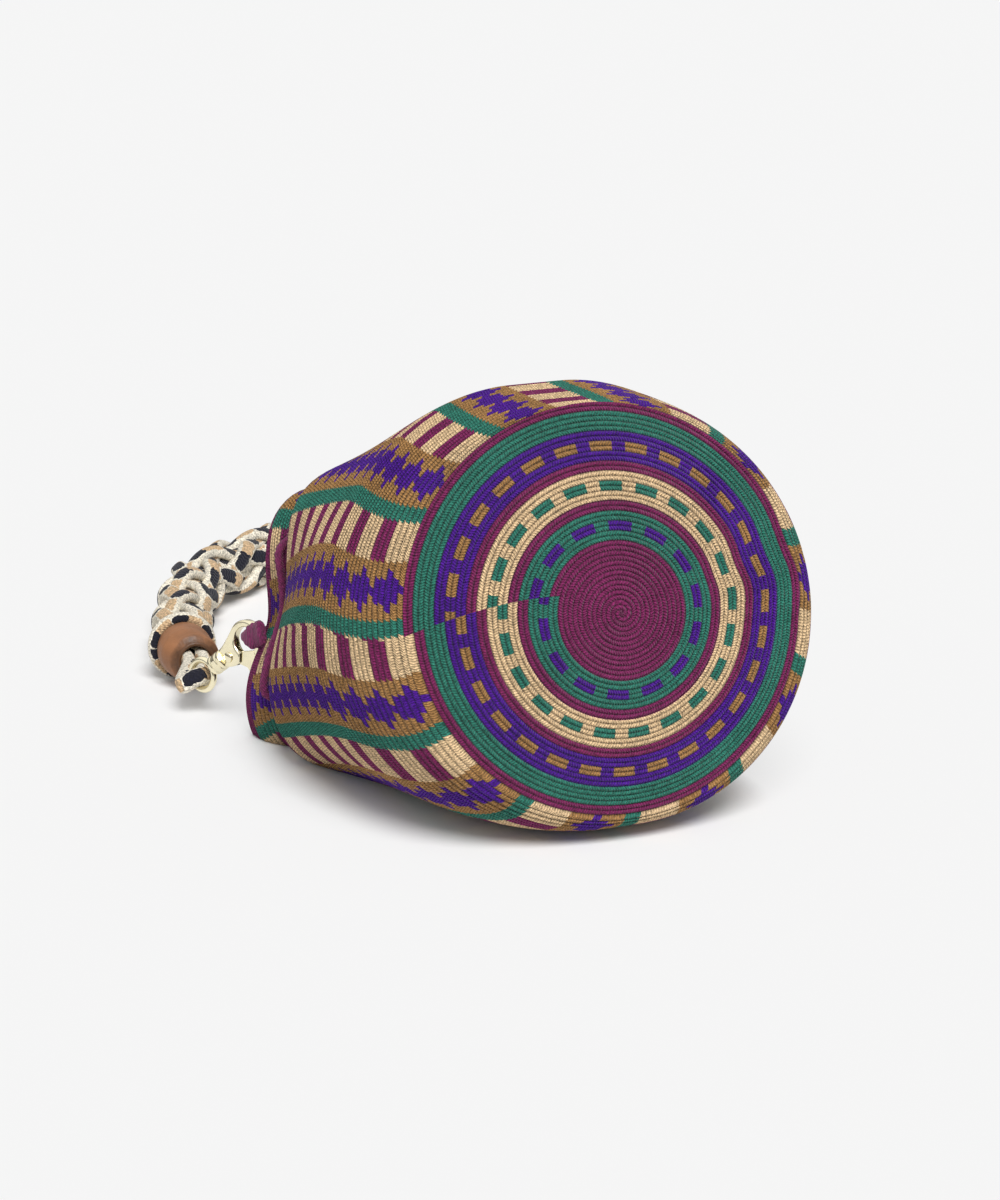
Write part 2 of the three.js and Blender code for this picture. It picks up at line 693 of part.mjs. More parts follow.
function snapRivet(frame) {
  const half = PLATE_THICKNESS / 2 + GAP;
  const rise = RIVET_HEAD_HEIGHT;
  const points = [
    [0, -half - rise],
    [0.6 * RIVET_HEAD, -half - rise],
    [RIVET_HEAD, -half],
    [RIVET_RADIUS, -half],
    [RIVET_RADIUS, half],
    [RIVET_HEAD, half],
    [0.6 * RIVET_HEAD, half + rise],
    [0, half + rise],
  ].map(([radius, y]) => new THREE.Vector2(radius, y));
  const geometry = new THREE.LatheGeometry(points, PIN_SIDES).translate(PIVOT_X, 0, PIVOT_Z);
  return piece(`${frame.side}_snap_rivet`, geometry, 'paleGold');
}

// Gate spring: a small coil between the gate's upper edge and the roof of its slot
class Coil extends THREE.Curve {
  constructor(radius, low, high, turns) {
    super();
    Object.assign(this, { radius, low, high, turns });
  }

  getPoint(t, target = new THREE.Vector3()) {
    const angle = t * this.turns * TAU;
    const height = lerp(this.low, this.high, t);
    return target.set(this.radius * Math.cos(angle), this.radius * Math.sin(angle), height);
  }
}

function snapSpring(frame) {
  const x = PIVOT_X - PIVOT_DISC - 1;
  const seat = polar(PIVOT_X, PIVOT_Z, PIVOT_DISC, 165);
  const tip = polar(PIVOT_X, PIVOT_Z, GATE_REACH, GATE_TIP_HIGH);
  const slope = (tip[1] - seat[1]) / (tip[0] - seat[0]);
  const room = SPRING_WIRE + GAP;
  const low = seat[1] + slope * (x + SPRING_RADIUS - seat[0]) + room;
  const high = PIVOT_Z + PIVOT_DISC + 1.3 * GAP + 0.2 - room;
  const coil = new Coil(SPRING_RADIUS, low, high, SPRING_TURNS);
  const geometry = tube(coil, SPRING_WIRE, 4, SPRING_TURNS * 5).translate(x, 0, 0);
  return piece(`${frame.side}_snap_spring`, geometry, 'steel');
}

// Swivel eye: a ring on a headed post that turns in the barrel
function swivelEye(frame) {
  const ring = ringAboutY(EYE_RADIUS + EYE_WIRE, EYE_WIRE, RING_SIDES, CORD_SIDES);
  ring.translate(EYE_CENTRE, 0, 0);
  const headEnd = POST_HEAD_START + POST_HEAD_LENGTH;
  const post = turnedAlongX([
    [POST_HEAD_START, 0],
    [POST_HEAD_START, POST_HEAD_RADIUS],
    [headEnd, POST_HEAD_RADIUS],
    [headEnd, POST_RADIUS],
    [EYE_CENTRE - EYE_RADIUS - EYE_WIRE, POST_RADIUS],
    [EYE_CENTRE - EYE_RADIUS - EYE_WIRE, 0],
  ], PIN_SIDES);
  return piece(`${frame.side}_swivel_eye`, joined(ring, post), 'paleGold');
}

function snap(frame) {
  const group = new THREE.Group();
  group.position.copy(frame.origin);
  group.quaternion.setFromRotationMatrix(frame.turnOf);
  const makers = [snapBody, snapGate, snapRivet, snapSpring, swivelEye];
  group.add(...makers.map((make) => make(frame)));
  return group;
}

// Strap end: a rope loop through the eye, whose core runs on inside the leather wrap and collar

const collarLength = 2 * COLLAR_ROPE;
const coreLength = WRAP_LENGTH + GAP + collarLength;

function alongStrap(frame, distance) {
  return frame.wrap.clone().addScaledVector(frame.strap, distance);
}

function endLoop(frame) {
  const apex = frame.eye.clone().addScaledVector(frame.axis, EYE_RADIUS - ROPE_RADIUS - 4 * GAP);
  const legGap = EYE_WIRE + 2 * GAP + ROPE_RADIUS;
  const flank = UP.clone().cross(frame.strap);
  if (flank.dot(frame.beside) < 0) flank.negate();
  const bend = (side, spread, on) => apex.clone()
    .addScaledVector(frame.beside, side * spread * legGap)
    .addScaledVector(frame.axis, on * legGap);
  const coreStart = WRAP_DOME + GAP;
  const leg = (side) => [
    alongStrap(frame, coreStart + ROPE_RADIUS).addScaledVector(flank, side * LOOP_SPLAY),
    alongStrap(frame, -ROPE_RADIUS).addScaledVector(flank, side * LOOP_SPLAY),
    bend(side, 1.15, 1.4),
    bend(side, 0.8, 0.35),
  ];
  const points = [...leg(1), apex, ...leg(-1).reverse()];
  const loop = tube(rounded(points), ROPE_RADIUS, CORD_SIDES, CORD_STEPS);
  const hidden = coreLength - coreStart;
  const core = new THREE.CylinderGeometry(CORE_RADIUS, CORE_RADIUS, hidden, WRAP_SIDES);
  core.applyQuaternion(new THREE.Quaternion().setFromUnitVectors(new THREE.Vector3(0, 1, 0), frame.strap));
  core.translate(...alongStrap(frame, (coreStart + coreLength) / 2));
  return piece(`${frame.side}_end_loop`, joined(core, loop), 'rope');
}

// A turned piece about the strap's end axis, from pairs of distance along it and radius
function turnedOnStrap(frame, profile, segments, start) {
  const geometry = turnedAlongX(profile, segments);
  geometry.applyQuaternion(new THREE.Quaternion().setFromUnitVectors(new THREE.Vector3(1, 0, 0), frame.strap));
  return geometry.translate(...alongStrap(frame, start));
}

// Leather wrap: a sleeve whose front closes in a dome round the loop's two legs
function leatherWrap(frame) {
  const inner = CORE_RADIUS + GAP;
  const outer = inner + LEATHER_THICKNESS;
  const edge = 0.7;
  const domed = (wall) => [0, 0.4, 1].map((share) => [
    share * WRAP_DOME,
    WRAP_OPENING + wall + (inner - WRAP_OPENING) * Math.sqrt(1 - (1 - share) ** 2),
  ]);
  const profile = [
    ...domed(0).reverse(),
    ...domed(LEATHER_THICKNESS),
    [(WRAP_DOME + WRAP_LENGTH) / 2, outer + LEATHER_CROWN],
    [WRAP_LENGTH - edge, outer],
    [WRAP_LENGTH, outer - edge],
    [WRAP_LENGTH, inner],
    [WRAP_DOME, inner],
  ];
  return piece(`${frame.side}_leather_wrap`, turnedOnStrap(frame, profile, WRAP_SIDES, 0), 'leather');
}

function ropeCollar(frame) {
  const profile = [];
  for (let i = 0; i <= CORD_SIDES; i += 1) {
    const angle = Math.PI - (i / CORD_SIDES) * TAU;
    const x = COLLAR_ROPE * (1 + Math.cos(angle));
    profile.push([x, COLLAR_RADIUS + COLLAR_ROPE * Math.sin(angle)]);
  }
  const start = WRAP_LENGTH + GAP;
  return piece(`${frame.side}_rope_collar`, turnedOnStrap(frame, profile, RING_SIDES, start), 'rope');
}

function strapEnd(frame) {
  return [loopTab(frame), snap(frame), endLoop(frame), leatherWrap(frame), ropeCollar(frame)];
}

// Braid: the strap's outer form, from one collar to the other along the floor
function strapBraid(near, far) {
  const start = coreLength + GAP;
  const settle = BRAID_RADIUS / 3;
  const lying = STRAP_ROUTE.map(([x, y]) => new THREE.Vector3(x, MOUTH_Y + y, BRAID_RADIUS + 2 * GAP));
  const points = [
    alongStrap(near, start),
    alongStrap(near, start + settle),
    ...lying,
    alongStrap(far, start + settle),
    alongStrap(far, start),
  ];
  const geometry = tube(rounded(points), BRAID_RADIUS, BRAID_SIDES, BRAID_STEPS);
  return piece('strap_braid', geometry, 'rope');
}

function crochetBag() {
  const bag = new THREE.Group();
  const [near, far] = [endFrame(NEAR_END), endFrame(FAR_END)];
  bag.add(bagBody(), drawstring(), ...strapEnd(near), ...strapEnd(far), strapBraid(near, far));
  return bag;
}

export default crochetBag();
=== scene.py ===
"""A crocheted bucket bag lying on its side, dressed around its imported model.

Sizes are in millimetres, as a maker would give them, and turn into metres where a mesh is made.
A turn of 0 is the bag's right side (+X), a quarter turn its top and a half turn its left side.
"""

from __future__ import annotations

import json
import logging
from dataclasses import dataclass, replace
from enum import Enum, StrEnum
from typing import Sequence

import bpy
import numpy as np
from mathutils import Matrix, Vector

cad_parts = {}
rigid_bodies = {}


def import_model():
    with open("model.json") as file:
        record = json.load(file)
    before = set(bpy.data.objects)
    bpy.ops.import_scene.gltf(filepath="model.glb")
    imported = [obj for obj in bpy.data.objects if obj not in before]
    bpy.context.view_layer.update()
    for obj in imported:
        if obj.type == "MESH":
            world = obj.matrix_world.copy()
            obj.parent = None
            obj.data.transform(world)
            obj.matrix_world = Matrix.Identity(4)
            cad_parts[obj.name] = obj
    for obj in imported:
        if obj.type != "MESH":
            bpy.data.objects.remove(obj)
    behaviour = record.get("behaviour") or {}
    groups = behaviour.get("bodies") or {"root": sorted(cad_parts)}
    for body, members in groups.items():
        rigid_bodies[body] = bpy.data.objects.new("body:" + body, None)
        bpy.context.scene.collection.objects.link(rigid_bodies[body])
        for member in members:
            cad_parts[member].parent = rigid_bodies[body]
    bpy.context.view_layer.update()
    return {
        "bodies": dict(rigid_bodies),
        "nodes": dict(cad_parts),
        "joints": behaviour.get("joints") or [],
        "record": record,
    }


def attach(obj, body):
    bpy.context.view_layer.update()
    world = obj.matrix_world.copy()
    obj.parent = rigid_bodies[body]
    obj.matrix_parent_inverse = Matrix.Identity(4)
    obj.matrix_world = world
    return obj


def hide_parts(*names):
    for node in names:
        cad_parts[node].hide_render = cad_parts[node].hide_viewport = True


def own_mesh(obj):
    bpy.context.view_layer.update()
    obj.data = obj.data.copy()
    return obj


MM = 0.001
TAU = 2 * np.pi
UP = np.array([0.0, 0.0, 1.0])
# The clearance between pieces that nearly touch
GAP = 0.3
# The map of surface coordinates that every grid has
SURFACE = "fabric"
# What a pale thread adds to its second coordinate, for the cord's finish to know it by
PALE_MARK = 2.0

log = logging.getLogger("crochet_bag")


# Numbers and arrays


def unit(vectors: np.ndarray) -> np.ndarray:
    """Vectors scaled to length one along their last axis."""
    return vectors / np.linalg.norm(vectors, axis=-1, keepdims=True)


def smoothstep(values: np.ndarray, low: float, high: float) -> np.ndarray:
    """An S-shaped ramp from 0 at low to 1 at high."""
    share = np.clip((np.asarray(values, float) - low) / (high - low), 0, 1)
    return share * share * (3 - 2 * share)


def fraction(values: np.ndarray) -> np.ndarray:
    """The part of each value above its whole number."""
    return values - np.floor(values)


def full_turn(count: int) -> np.ndarray:
    """Angles spaced evenly round a circle."""
    return np.arange(count) / count * TAU


def stacked(*parts: np.ndarray) -> np.ndarray:
    """Arrays that fit one another, joined along a new last axis."""
    return np.stack(np.broadcast_arrays(*parts), axis=-1)


def distances_along(path: np.ndarray) -> np.ndarray:
    """How far along a path each of its points lies."""
    return np.concatenate([[0], np.cumsum(np.linalg.norm(np.diff(path, axis=0), axis=1))])


def path_length(path: np.ndarray) -> float:
    """The length of a path of points."""
    return float(distances_along(path)[-1])


def curve_through(points: Sequence[Sequence[float]], count: int) -> np.ndarray:
    """A smooth curve through points, parted into equal lengths.

    Each stretch is a cubic whose end slopes come from its neighbours, weighted by the square
    root of the distances between points, so that it neither loops nor overshoots.

    Args:
        points: the points that the curve passes through, in order.
        count: how many points to return.

    Returns:
        An array of count points.
    """
    steps_a_stretch = 32
    knots = np.asarray(points, float)
    ends = np.vstack([2 * knots[0] - knots[1], knots, 2 * knots[-1] - knots[-2]])
    p0, p1, p2, p3 = ends[:-3], ends[1:-2], ends[2:-1], ends[3:]
    pairs = ((p0, p1), (p1, p2), (p2, p3))
    d0, d1, d2 = (np.sqrt(np.linalg.norm(b - a, axis=1))[:, None] for a, b in pairs)
    leave = d1 * ((p1 - p0) / d0 - (p2 - p0) / (d0 + d1) + (p2 - p1) / d1)
    arrive = d1 * ((p2 - p1) / d1 - (p3 - p1) / (d1 + d2) + (p3 - p2) / d2)
    t = np.linspace(0, 1, steps_a_stretch + 1)[:-1, None, None]
    dense = (
        (2 * t**3 - 3 * t**2 + 1) * p1
        + (t**3 - 2 * t**2 + t) * leave
        + (3 * t**2 - 2 * t**3) * p2
        + (t**3 - t**2) * arrive
    )
    dense = np.vstack([dense.transpose(1, 0, 2).reshape(-1, 3), knots[-1:]])
    lengths = distances_along(dense)
    wanted = np.linspace(0, lengths[-1], count)
    return np.column_stack([np.interp(wanted, lengths, values) for values in dense.T])


def tangents_of(path: np.ndarray) -> np.ndarray:
    """Unit directions along a path of points."""
    return unit(np.gradient(path, axis=0))


def level(degrees: float) -> np.ndarray:
    """A direction level with the floor, by its angle from +Y towards +X."""
    return np.array([np.sin(np.radians(degrees)), np.cos(np.radians(degrees)), 0.0])


def square_to(vectors: np.ndarray, ways: np.ndarray) -> np.ndarray:
    """Unit vectors with what runs along the given ways taken out."""
    return unit(vectors - ways * (vectors * ways).sum(axis=-1, keepdims=True))


def frames_along(path: np.ndarray, side: np.ndarray) -> tuple[np.ndarray, np.ndarray]:
    """Two directions square to a path, given ones or ones that turn as little as they can.

    Args:
        path: the points of the path.
        side: near the first direction, at the path's start or at each of its points.

    Returns:
        The first and second directions at each point.
    """
    tangents = tangents_of(path)
    if side.ndim == 2:
        first = square_to(side, tangents)
    else:
        first = np.empty_like(path)
        for i, tangent in enumerate(tangents):
            side = square_to(side, tangent)
            first[i] = side
    return first, np.cross(tangents, first)


@dataclass(frozen=True)
class Place:
    """An origin and three square directions, in millimetres."""

    origin: np.ndarray
    axis: np.ndarray
    across: np.ndarray
    upward: np.ndarray

    def put(self, local: np.ndarray) -> np.ndarray:
        """Local points set in the bag's frame."""
        return self.origin + local @ np.stack([self.axis, self.across, self.upward])

    def at(self, axis: float, across: float = 0.0, upward: float = 0.0) -> np.ndarray:
        """One local point in the bag's frame."""
        return self.put(np.array([axis, across, upward], float))


# Meshes from grids


@dataclass
class Grid:
    """A surface as rows and columns of points, with the columns closed into rings.

    Args:
        points: rows by columns by 3, in millimetres.
        uv: rows by columns + 1 by 2, where the last column closes the ring.
        inward: whether rows run so that the faces have to be turned over.
        closed_rows: whether the last row joins the first, as on a ring.
    """

    points: np.ndarray
    uv: np.ndarray
    inward: bool = False
    closed_rows: bool = False

    def faces(self) -> tuple[np.ndarray, np.ndarray, np.ndarray]:
        """The grid's corners, faces and corner coordinates, with a pole closing each open end.

        Returns:
            Vertices, faces as four indices (two of a pole's alike), and each face corner's uv.
        """
        rows, columns, _ = self.points.shape
        last = rows if self.closed_rows else rows - 1
        row, column = (index.ravel() for index in np.indices((last, columns)))
        beside, above = (column + 1) % columns, (row + 1) % rows
        quads = np.column_stack([
            row * columns + column,
            row * columns + beside,
            above * columns + beside,
            above * columns + column,
        ])
        uv_above = np.minimum(row + 1, len(self.uv) - 1)
        uvs = np.stack([
            self.uv[row, column],
            self.uv[row, column + 1],
            self.uv[uv_above, column + 1],
            self.uv[uv_above, column],
        ], axis=1)
        vertices = self.points.reshape(-1, 3)
        if not self.closed_rows:
            vertices, quads, uvs = self._poles(vertices, quads, uvs)
        if self.inward:
            quads, uvs = quads[:, ::-1], uvs[:, ::-1]
        return vertices, quads, uvs

    def _poles(
        self, vertices: np.ndarray, quads: np.ndarray, uvs: np.ndarray
    ) -> tuple[np.ndarray, np.ndarray, np.ndarray]:
        """Adds a middle point to each end and joins it to that end's ring.

        Args:
            vertices: the grid's corners.
            quads: its faces.
            uvs: its face corners' coordinates.

        Returns:
            All three with the poles added.
        """
        rows, columns, _ = self.points.shape
        ring = np.arange(columns)
        beside = (ring + 1) % columns
        top = (rows - 1) * columns
        pole = np.full(columns, len(vertices))
        caps = np.vstack([
            np.column_stack([pole, beside, ring, ring]),
            np.column_stack([top + ring, top + beside, pole + 1, pole + 1]),
        ])
        cap_uvs = np.vstack([
            np.stack([edge[:-1], edge[1:], edge[:-1], edge[:-1]], axis=1) for edge in self.uv[[0, -1]]
        ])
        middles = self.points[[0, -1]].mean(axis=1)
        return np.vstack([vertices, middles]), np.vstack([quads, caps]), np.vstack([uvs, cap_uvs])


def linked(name: str, data: bpy.types.ID) -> bpy.types.Object:
    """A new object of a mesh or other data, in the scene."""
    piece = bpy.data.objects.new(name, data)
    bpy.context.scene.collection.objects.link(piece)
    return piece


def mesh_of(name: str, grids: Sequence[Grid]) -> bpy.types.Object:
    """One object made of closed surfaces.

    Args:
        name: the piece's name.
        grids: its surfaces.

    Returns:
        The linked object, at the origin, with smooth shading.
    """
    vertices, faces, corners = [], [], []
    start = 0
    for grid in grids:
        points, quads, uvs = grid.faces()
        vertices.append(points)
        faces.append(quads + start)
        corners.append(uvs)
        start += len(points)
    points, quads, uvs = np.vstack(vertices) * MM, np.vstack(faces), np.vstack(corners)
    keep = quads != np.roll(quads, 1, axis=1)
    sizes = keep.sum(axis=1)
    mesh = bpy.data.meshes.new(name)
    mesh.vertices.add(len(points))
    mesh.vertices.foreach_set("co", points.ravel())
    mesh.loops.add(int(sizes.sum()))
    mesh.loops.foreach_set("vertex_index", quads[keep])
    mesh.polygons.add(len(quads))
    mesh.polygons.foreach_set("loop_start", np.concatenate([[0], np.cumsum(sizes)[:-1]]))
    mesh.polygons.foreach_set("use_smooth", np.ones(len(quads), bool))
    layer = mesh.uv_layers.new(name=SURFACE)
    mesh.update(calc_edges=True)
    layer.data.foreach_set("uv", uvs[keep].ravel())
    mesh.validate()
    return linked(name, mesh)


def ring_uv(along: np.ndarray, sides: int) -> np.ndarray:
    """Coordinates of rings in a row: the distance along, and the share of a turn."""
    return stacked(along[:, None], np.arange(sides + 1) / sides)


def tube(path: np.ndarray, side: np.ndarray, section: RoundSection | OvalSection) -> Grid:
    """A closed section carried along a path.

    Args:
        path: the points of the path.
        side: near the section's first axis, at the start or at each point.
        section: the section, which may change along the path.

    Returns:
        The grid, whose uv holds the distance along the path and the share of a turn.
    """
    first, second = frames_along(path, side)
    steps = distances_along(path)
    across, upward = section.offsets(steps[:, None], full_turn(section.sides))
    points = path[:, None] + across[..., None] * first[:, None] + upward[..., None] * second[:, None]
    return Grid(points, ring_uv(steps, section.sides))


def turned(
    profile: Sequence[tuple[float, float]], sides: int, place: Place, closed: bool = False
) -> Grid:
    """A turned piece: a profile of distance along an axis and radius, spun about that axis.

    Args:
        profile: pairs of distance and radius, from one end to the other.
        sides: points around it.
        place: where it stands, its axis along the place's first direction.
        closed: whether the profile closes on itself, as a ring's does.

    Returns:
        The grid.
    """
    along, radius = np.array(profile, float).T
    angles = full_turn(sides)
    local = stacked(along[:, None], radius[:, None] * np.cos(angles), radius[:, None] * np.sin(angles))
    return Grid(place.put(local), ring_uv(along, sides), closed_rows=closed)


def wire_ring(
    place: Place, radius: float, wire: float, turns: int, sides: int, inward: bool = False
) -> Grid:
    """A ring of round wire about a place's axis.

    Args:
        place: its middle, and its axis as the first direction.
        radius: from its middle to the wire's middle.
        wire: the wire's radius.
        turns: points along the ring.
        sides: points around the wire.
        inward: whether the place is left-handed, so that the faces have to be turned over.

    Returns:
        The grid, whose uv holds the distance along the wire and the share of a turn.
    """
    turn, side = full_turn(turns)[:, None], full_turn(sides)
    reach = radius + wire * np.cos(side)
    local = stacked(wire * np.sin(side), reach * np.cos(turn), reach * np.sin(turn))
    along = radius * np.append(full_turn(turns), TAU)
    return Grid(place.put(local), ring_uv(along, sides), inward, closed_rows=True)


def rounded_ends(steps: np.ndarray, ease: float) -> np.ndarray | float:
    """The share of its full size that a section has along a path with rounded ends.

    It rises as a quarter circle over the eased length, from a small share that keeps the ring open.

    Args:
        steps: distances along the path, as a column.
        ease: the length of each rounded end, or 0 for plain ends.

    Returns:
        The share at each step.
    """
    if not ease:
        return 1.0
    smallest = 0.02
    near = np.clip(np.minimum(steps, steps[-1] - steps) / ease, 0, 1)
    return np.sqrt(np.clip(1 - (1 - near) ** 2, smallest, 1))


@dataclass(frozen=True)
class RoundSection:
    """A round section with plies that twist along the path.

    Args:
        radius: its mean radius.
        sides: points around it.
        plies: how many strands show around it.
        pitch: the length in which the strands make one turn.
        groove: how deep the grooves between strands are, as a share of the radius.
        ease: the length of each rounded end.
    """

    radius: float
    sides: int
    plies: int = 0
    pitch: float = 1.0
    groove: float = 0.0
    ease: float = 0.0

    def offsets(self, steps: np.ndarray, angles: np.ndarray) -> tuple[np.ndarray, np.ndarray]:
        """A circle whose radius dips between the strands.

        Args:
            steps: distances along the path, as a column.
            angles: angles around the section.

        Returns:
            The offsets along the section's two axes.
        """
        lobes = np.abs(np.cos(self.plies / 2 * (angles - TAU * steps / self.pitch)))
        radius = self.radius * (1 - self.groove + self.groove * lobes) * rounded_ends(steps, self.ease)
        return radius * np.cos(angles), radius * np.sin(angles)


@dataclass(frozen=True)
class OvalSection:
    """A flat rope's section: an oval a little squarer than an ellipse, broader away from its middle.

    Args:
        width: half its width.
        thickness: half its thickness.
        sides: points around it.
        broaden: how much half its width grows away from the middle of the path.
        middle: the distance along the path where it is narrowest.
        broaden_over: between which distances from that middle it grows.
        knobs: how deep the stitches along it are, as a share of its size.
        pitch: the length of one such stitch.
        ease: the length of each rounded end.
        power: 1 for an ellipse, and less for a squarer oval.
    """

    width: float
    thickness: float
    sides: int
    broaden: float = 0.0
    middle: float = 0.0
    broaden_over: tuple = (5.0, 14.0)
    knobs: float = 0.0
    pitch: float = 1.0
    ease: float = 0.0
    power: float = 0.8

    def offsets(self, steps: np.ndarray, angles: np.ndarray) -> tuple[np.ndarray, np.ndarray]:
        """An oval whose cosine and sine are raised to a power, with knobs along it.

        Args:
            steps: distances along the path, as a column.
            angles: angles around the section.

        Returns:
            The offsets along the section's two axes.
        """
        width = self.width + self.broaden * smoothstep(np.abs(steps - self.middle), *self.broaden_over)
        size = 1 - self.knobs * np.abs(np.sin(np.pi * steps / self.pitch + np.sin(angles)))
        size = size * rounded_ends(steps, self.ease)
        waves = np.cos(angles), np.sin(angles)
        across, upward = (np.sign(wave) * np.abs(wave) ** self.power for wave in waves)
        return across * width * size, upward * self.thickness * size


# Shaders


def screen(red: int, green: int, blue: int) -> tuple[float, float, float, float]:
    """The linear colour of an 8-bit screen colour."""
    values = np.array([red, green, blue]) / 255
    linear = np.where(values <= 0.04045, values / 12.92, ((values + 0.055) / 1.055) ** 2.4)
    return (*linear.tolist(), 1.0)


class Dye(Enum):
    """The colours of the yarns, ropes, leather and metals."""

    PLUM = screen(124, 39, 89)
    GREEN = screen(49, 121, 104)
    PURPLE = screen(76, 25, 140)
    CREAM = screen(226, 194, 151)
    TAN = screen(165, 123, 75)
    ROPE = screen(238, 230, 212)
    NAVY = screen(14, 15, 32)
    SAND = screen(214, 182, 142)
    LEATHER = screen(151, 103, 69)
    GOLD = screen(250, 240, 206)
    STEEL = screen(190, 190, 190)
    PAPER = screen(245, 245, 245)


@dataclass(frozen=True)
class Wire:
    """A node's output, which plain arithmetic carries on into new maths nodes of its graph."""

    graph: Graph
    socket: bpy.types.NodeSocket

    def __add__(self, other: Wire | float) -> Wire:
        """The sum of two values."""
        return self.graph.math("ADD", self, other)

    def __sub__(self, other: Wire | float) -> Wire:
        """This value less another."""
        return self.graph.math("SUBTRACT", self, other)

    def __mul__(self, other: Wire | float) -> Wire:
        """The product of two values."""
        return self.graph.math("MULTIPLY", self, other)

    def __truediv__(self, other: Wire | float) -> Wire:
        """This value parted by another."""
        return self.graph.math("DIVIDE", self, other)

    def __mod__(self, size: float) -> Wire:
        """What is left over after whole parts of a size."""
        return self.graph.math("FLOORED_MODULO", self, size)

    def __pow__(self, power: float) -> Wire:
        """A power of this value."""
        return self.graph.math("POWER", self, power)

    def __abs__(self) -> Wire:
        """This value without its sign."""
        return self.graph.math("ABSOLUTE", self)

    def __lt__(self, other: Wire | float) -> Wire:
        """1 where this value is the smaller, else 0."""
        return self.graph.math("LESS_THAN", self, other)

    def __gt__(self, other: Wire | float) -> Wire:
        """1 where this value is the greater, else 0."""
        return self.graph.math("GREATER_THAN", self, other)

    def floor(self) -> Wire:
        """The whole number below."""
        return self.graph.math("FLOOR", self)

    def fract(self) -> Wire:
        """The part above the whole number below."""
        return self.graph.math("FRACT", self)

    def wave(self) -> Wire:
        """A sine that repeats with every whole number."""
        return self.graph.math("SINE", self * TAU)

    def zigzag(self, height: float) -> Wire:
        """A line that rises to a height and falls to 0 again, over and over."""
        return self.graph.math("PINGPONG", self, height)

    def is_number(self, number: float) -> Wire:
        """1 where this value is the whole number given, else 0."""
        return self.graph.math("COMPARE", self, number, 0.1)


@dataclass
class Graph:
    """A node tree with short ways to add nodes and link them."""

    tree: bpy.types.NodeTree

    def feed(self, socket: bpy.types.NodeSocket, value: Wire | Dye | float | tuple) -> None:
        """Links a wire to a socket, or sets the socket's own value."""
        if isinstance(value, Wire):
            self.tree.links.new(value.socket, socket)
        else:
            socket.default_value = value.value if isinstance(value, Dye) else value

    def node(self, kind: str, inputs: dict | None = None, **settings: object) -> bpy.types.Node:
        """A new node.

        Args:
            kind: the node's type.
            inputs: what to feed its inputs, by number or name.
            settings: its own settings.

        Returns:
            The node.
        """
        node = self.tree.nodes.new(kind)
        for name, value in settings.items():
            setattr(node, name, value)
        for key, value in (inputs or {}).items():
            self.feed(node.inputs[key], value)
        return node

    def value(
        self, kind: str, inputs: dict | None = None, output: int | str = 0, **settings: object
    ) -> Wire:
        """One output of a new node, by number or name."""
        return Wire(self, self.node(kind, inputs, **settings).outputs[output])

    def math(self, operation: str, *values: Wire | float) -> Wire:
        """The output of a maths node."""
        return self.value("ShaderNodeMath", dict(enumerate(values)), operation=operation)

    def mix(self, share: Wire, first: Wire | Dye, second: Wire | Dye) -> Wire:
        """A colour between two, by share."""
        return self.value("ShaderNodeMix", {0: share, 6: first, 7: second}, 2, data_type="RGBA")

    def between(self, share: Wire, first: Wire | float, second: Wire | float) -> Wire:
        """A value between two, by share."""
        return self.value("ShaderNodeMix", {0: share, 2: first, 3: second}, data_type="FLOAT")

    def scaled(self, colour: Wire | Dye, amount: Wire) -> Wire:
        """A colour times a grey amount."""
        grey = self.value("ShaderNodeCombineColor", {0: amount, 1: amount, 2: amount})
        inputs = {0: 1.0, 6: colour, 7: grey}
        return self.value("ShaderNodeMix", inputs, 2, data_type="RGBA", blend_type="MULTIPLY")

    def bands(self, value: Wire, stops: Sequence[tuple[float, Dye]]) -> Wire:
        """Steps of plain colour along a value from 0 to 1.

        Args:
            value: the value.
            stops: where each colour starts, and the colour.

        Returns:
            The colour.
        """
        node = self.node("ShaderNodeValToRGB", {0: value})
        ramp = node.color_ramp
        ramp.interpolation = "CONSTANT"
        for start, _ in stops[2:]:
            ramp.elements.new(start)
        for element, (start, dye) in zip(ramp.elements, stops):
            element.position = start
            element.color = dye.value
        return Wire(self, node.outputs[0])

    def ranged(
        self, value: Wire, low: float, high: float, to_low: float, to_high: float, **settings: str
    ) -> Wire:
        """A value carried from one range to another and held at its ends."""
        inputs = {0: value, 1: low, 2: high, 3: to_low, 4: to_high}
        return self.value("ShaderNodeMapRange", inputs, **settings)

    def noise(self, vector: Wire, scale: Wire | float, detail: float = 2.0) -> Wire:
        """A soft random value from 0 to 1."""
        return self.value("ShaderNodeTexNoise", {"Vector": vector, "Scale": scale, "Detail": detail})

    def bump(self, height: Wire, depth: float, strength: float = 1.0) -> Wire:
        """A normal bent by a relief of a depth in millimetres."""
        inputs = {"Height": height, "Distance": depth * MM, "Strength": strength}
        return self.value("ShaderNodeBump", inputs)

    def surface(self) -> tuple[Wire, Wire]:
        """The two values of the map of surface coordinates."""
        split = self.node("ShaderNodeSeparateXYZ", {0: self.value("ShaderNodeUVMap", uv_map=SURFACE)})
        return Wire(self, split.outputs[0]), Wire(self, split.outputs[1])

    def place(self) -> Wire:
        """The piece's own coordinates."""
        return self.value("ShaderNodeTexCoord", output="Object")

    def rays(self, *kinds: str) -> Wire:
        """1 for rays of any of these kinds, else 0."""
        path = self.node("ShaderNodeLightPath")
        seen, *others = (Wire(self, path.outputs[f"Is {kind} Ray"]) for kind in kinds)
        for other in others:
            seen = self.math("MAXIMUM", seen, other)
        return seen


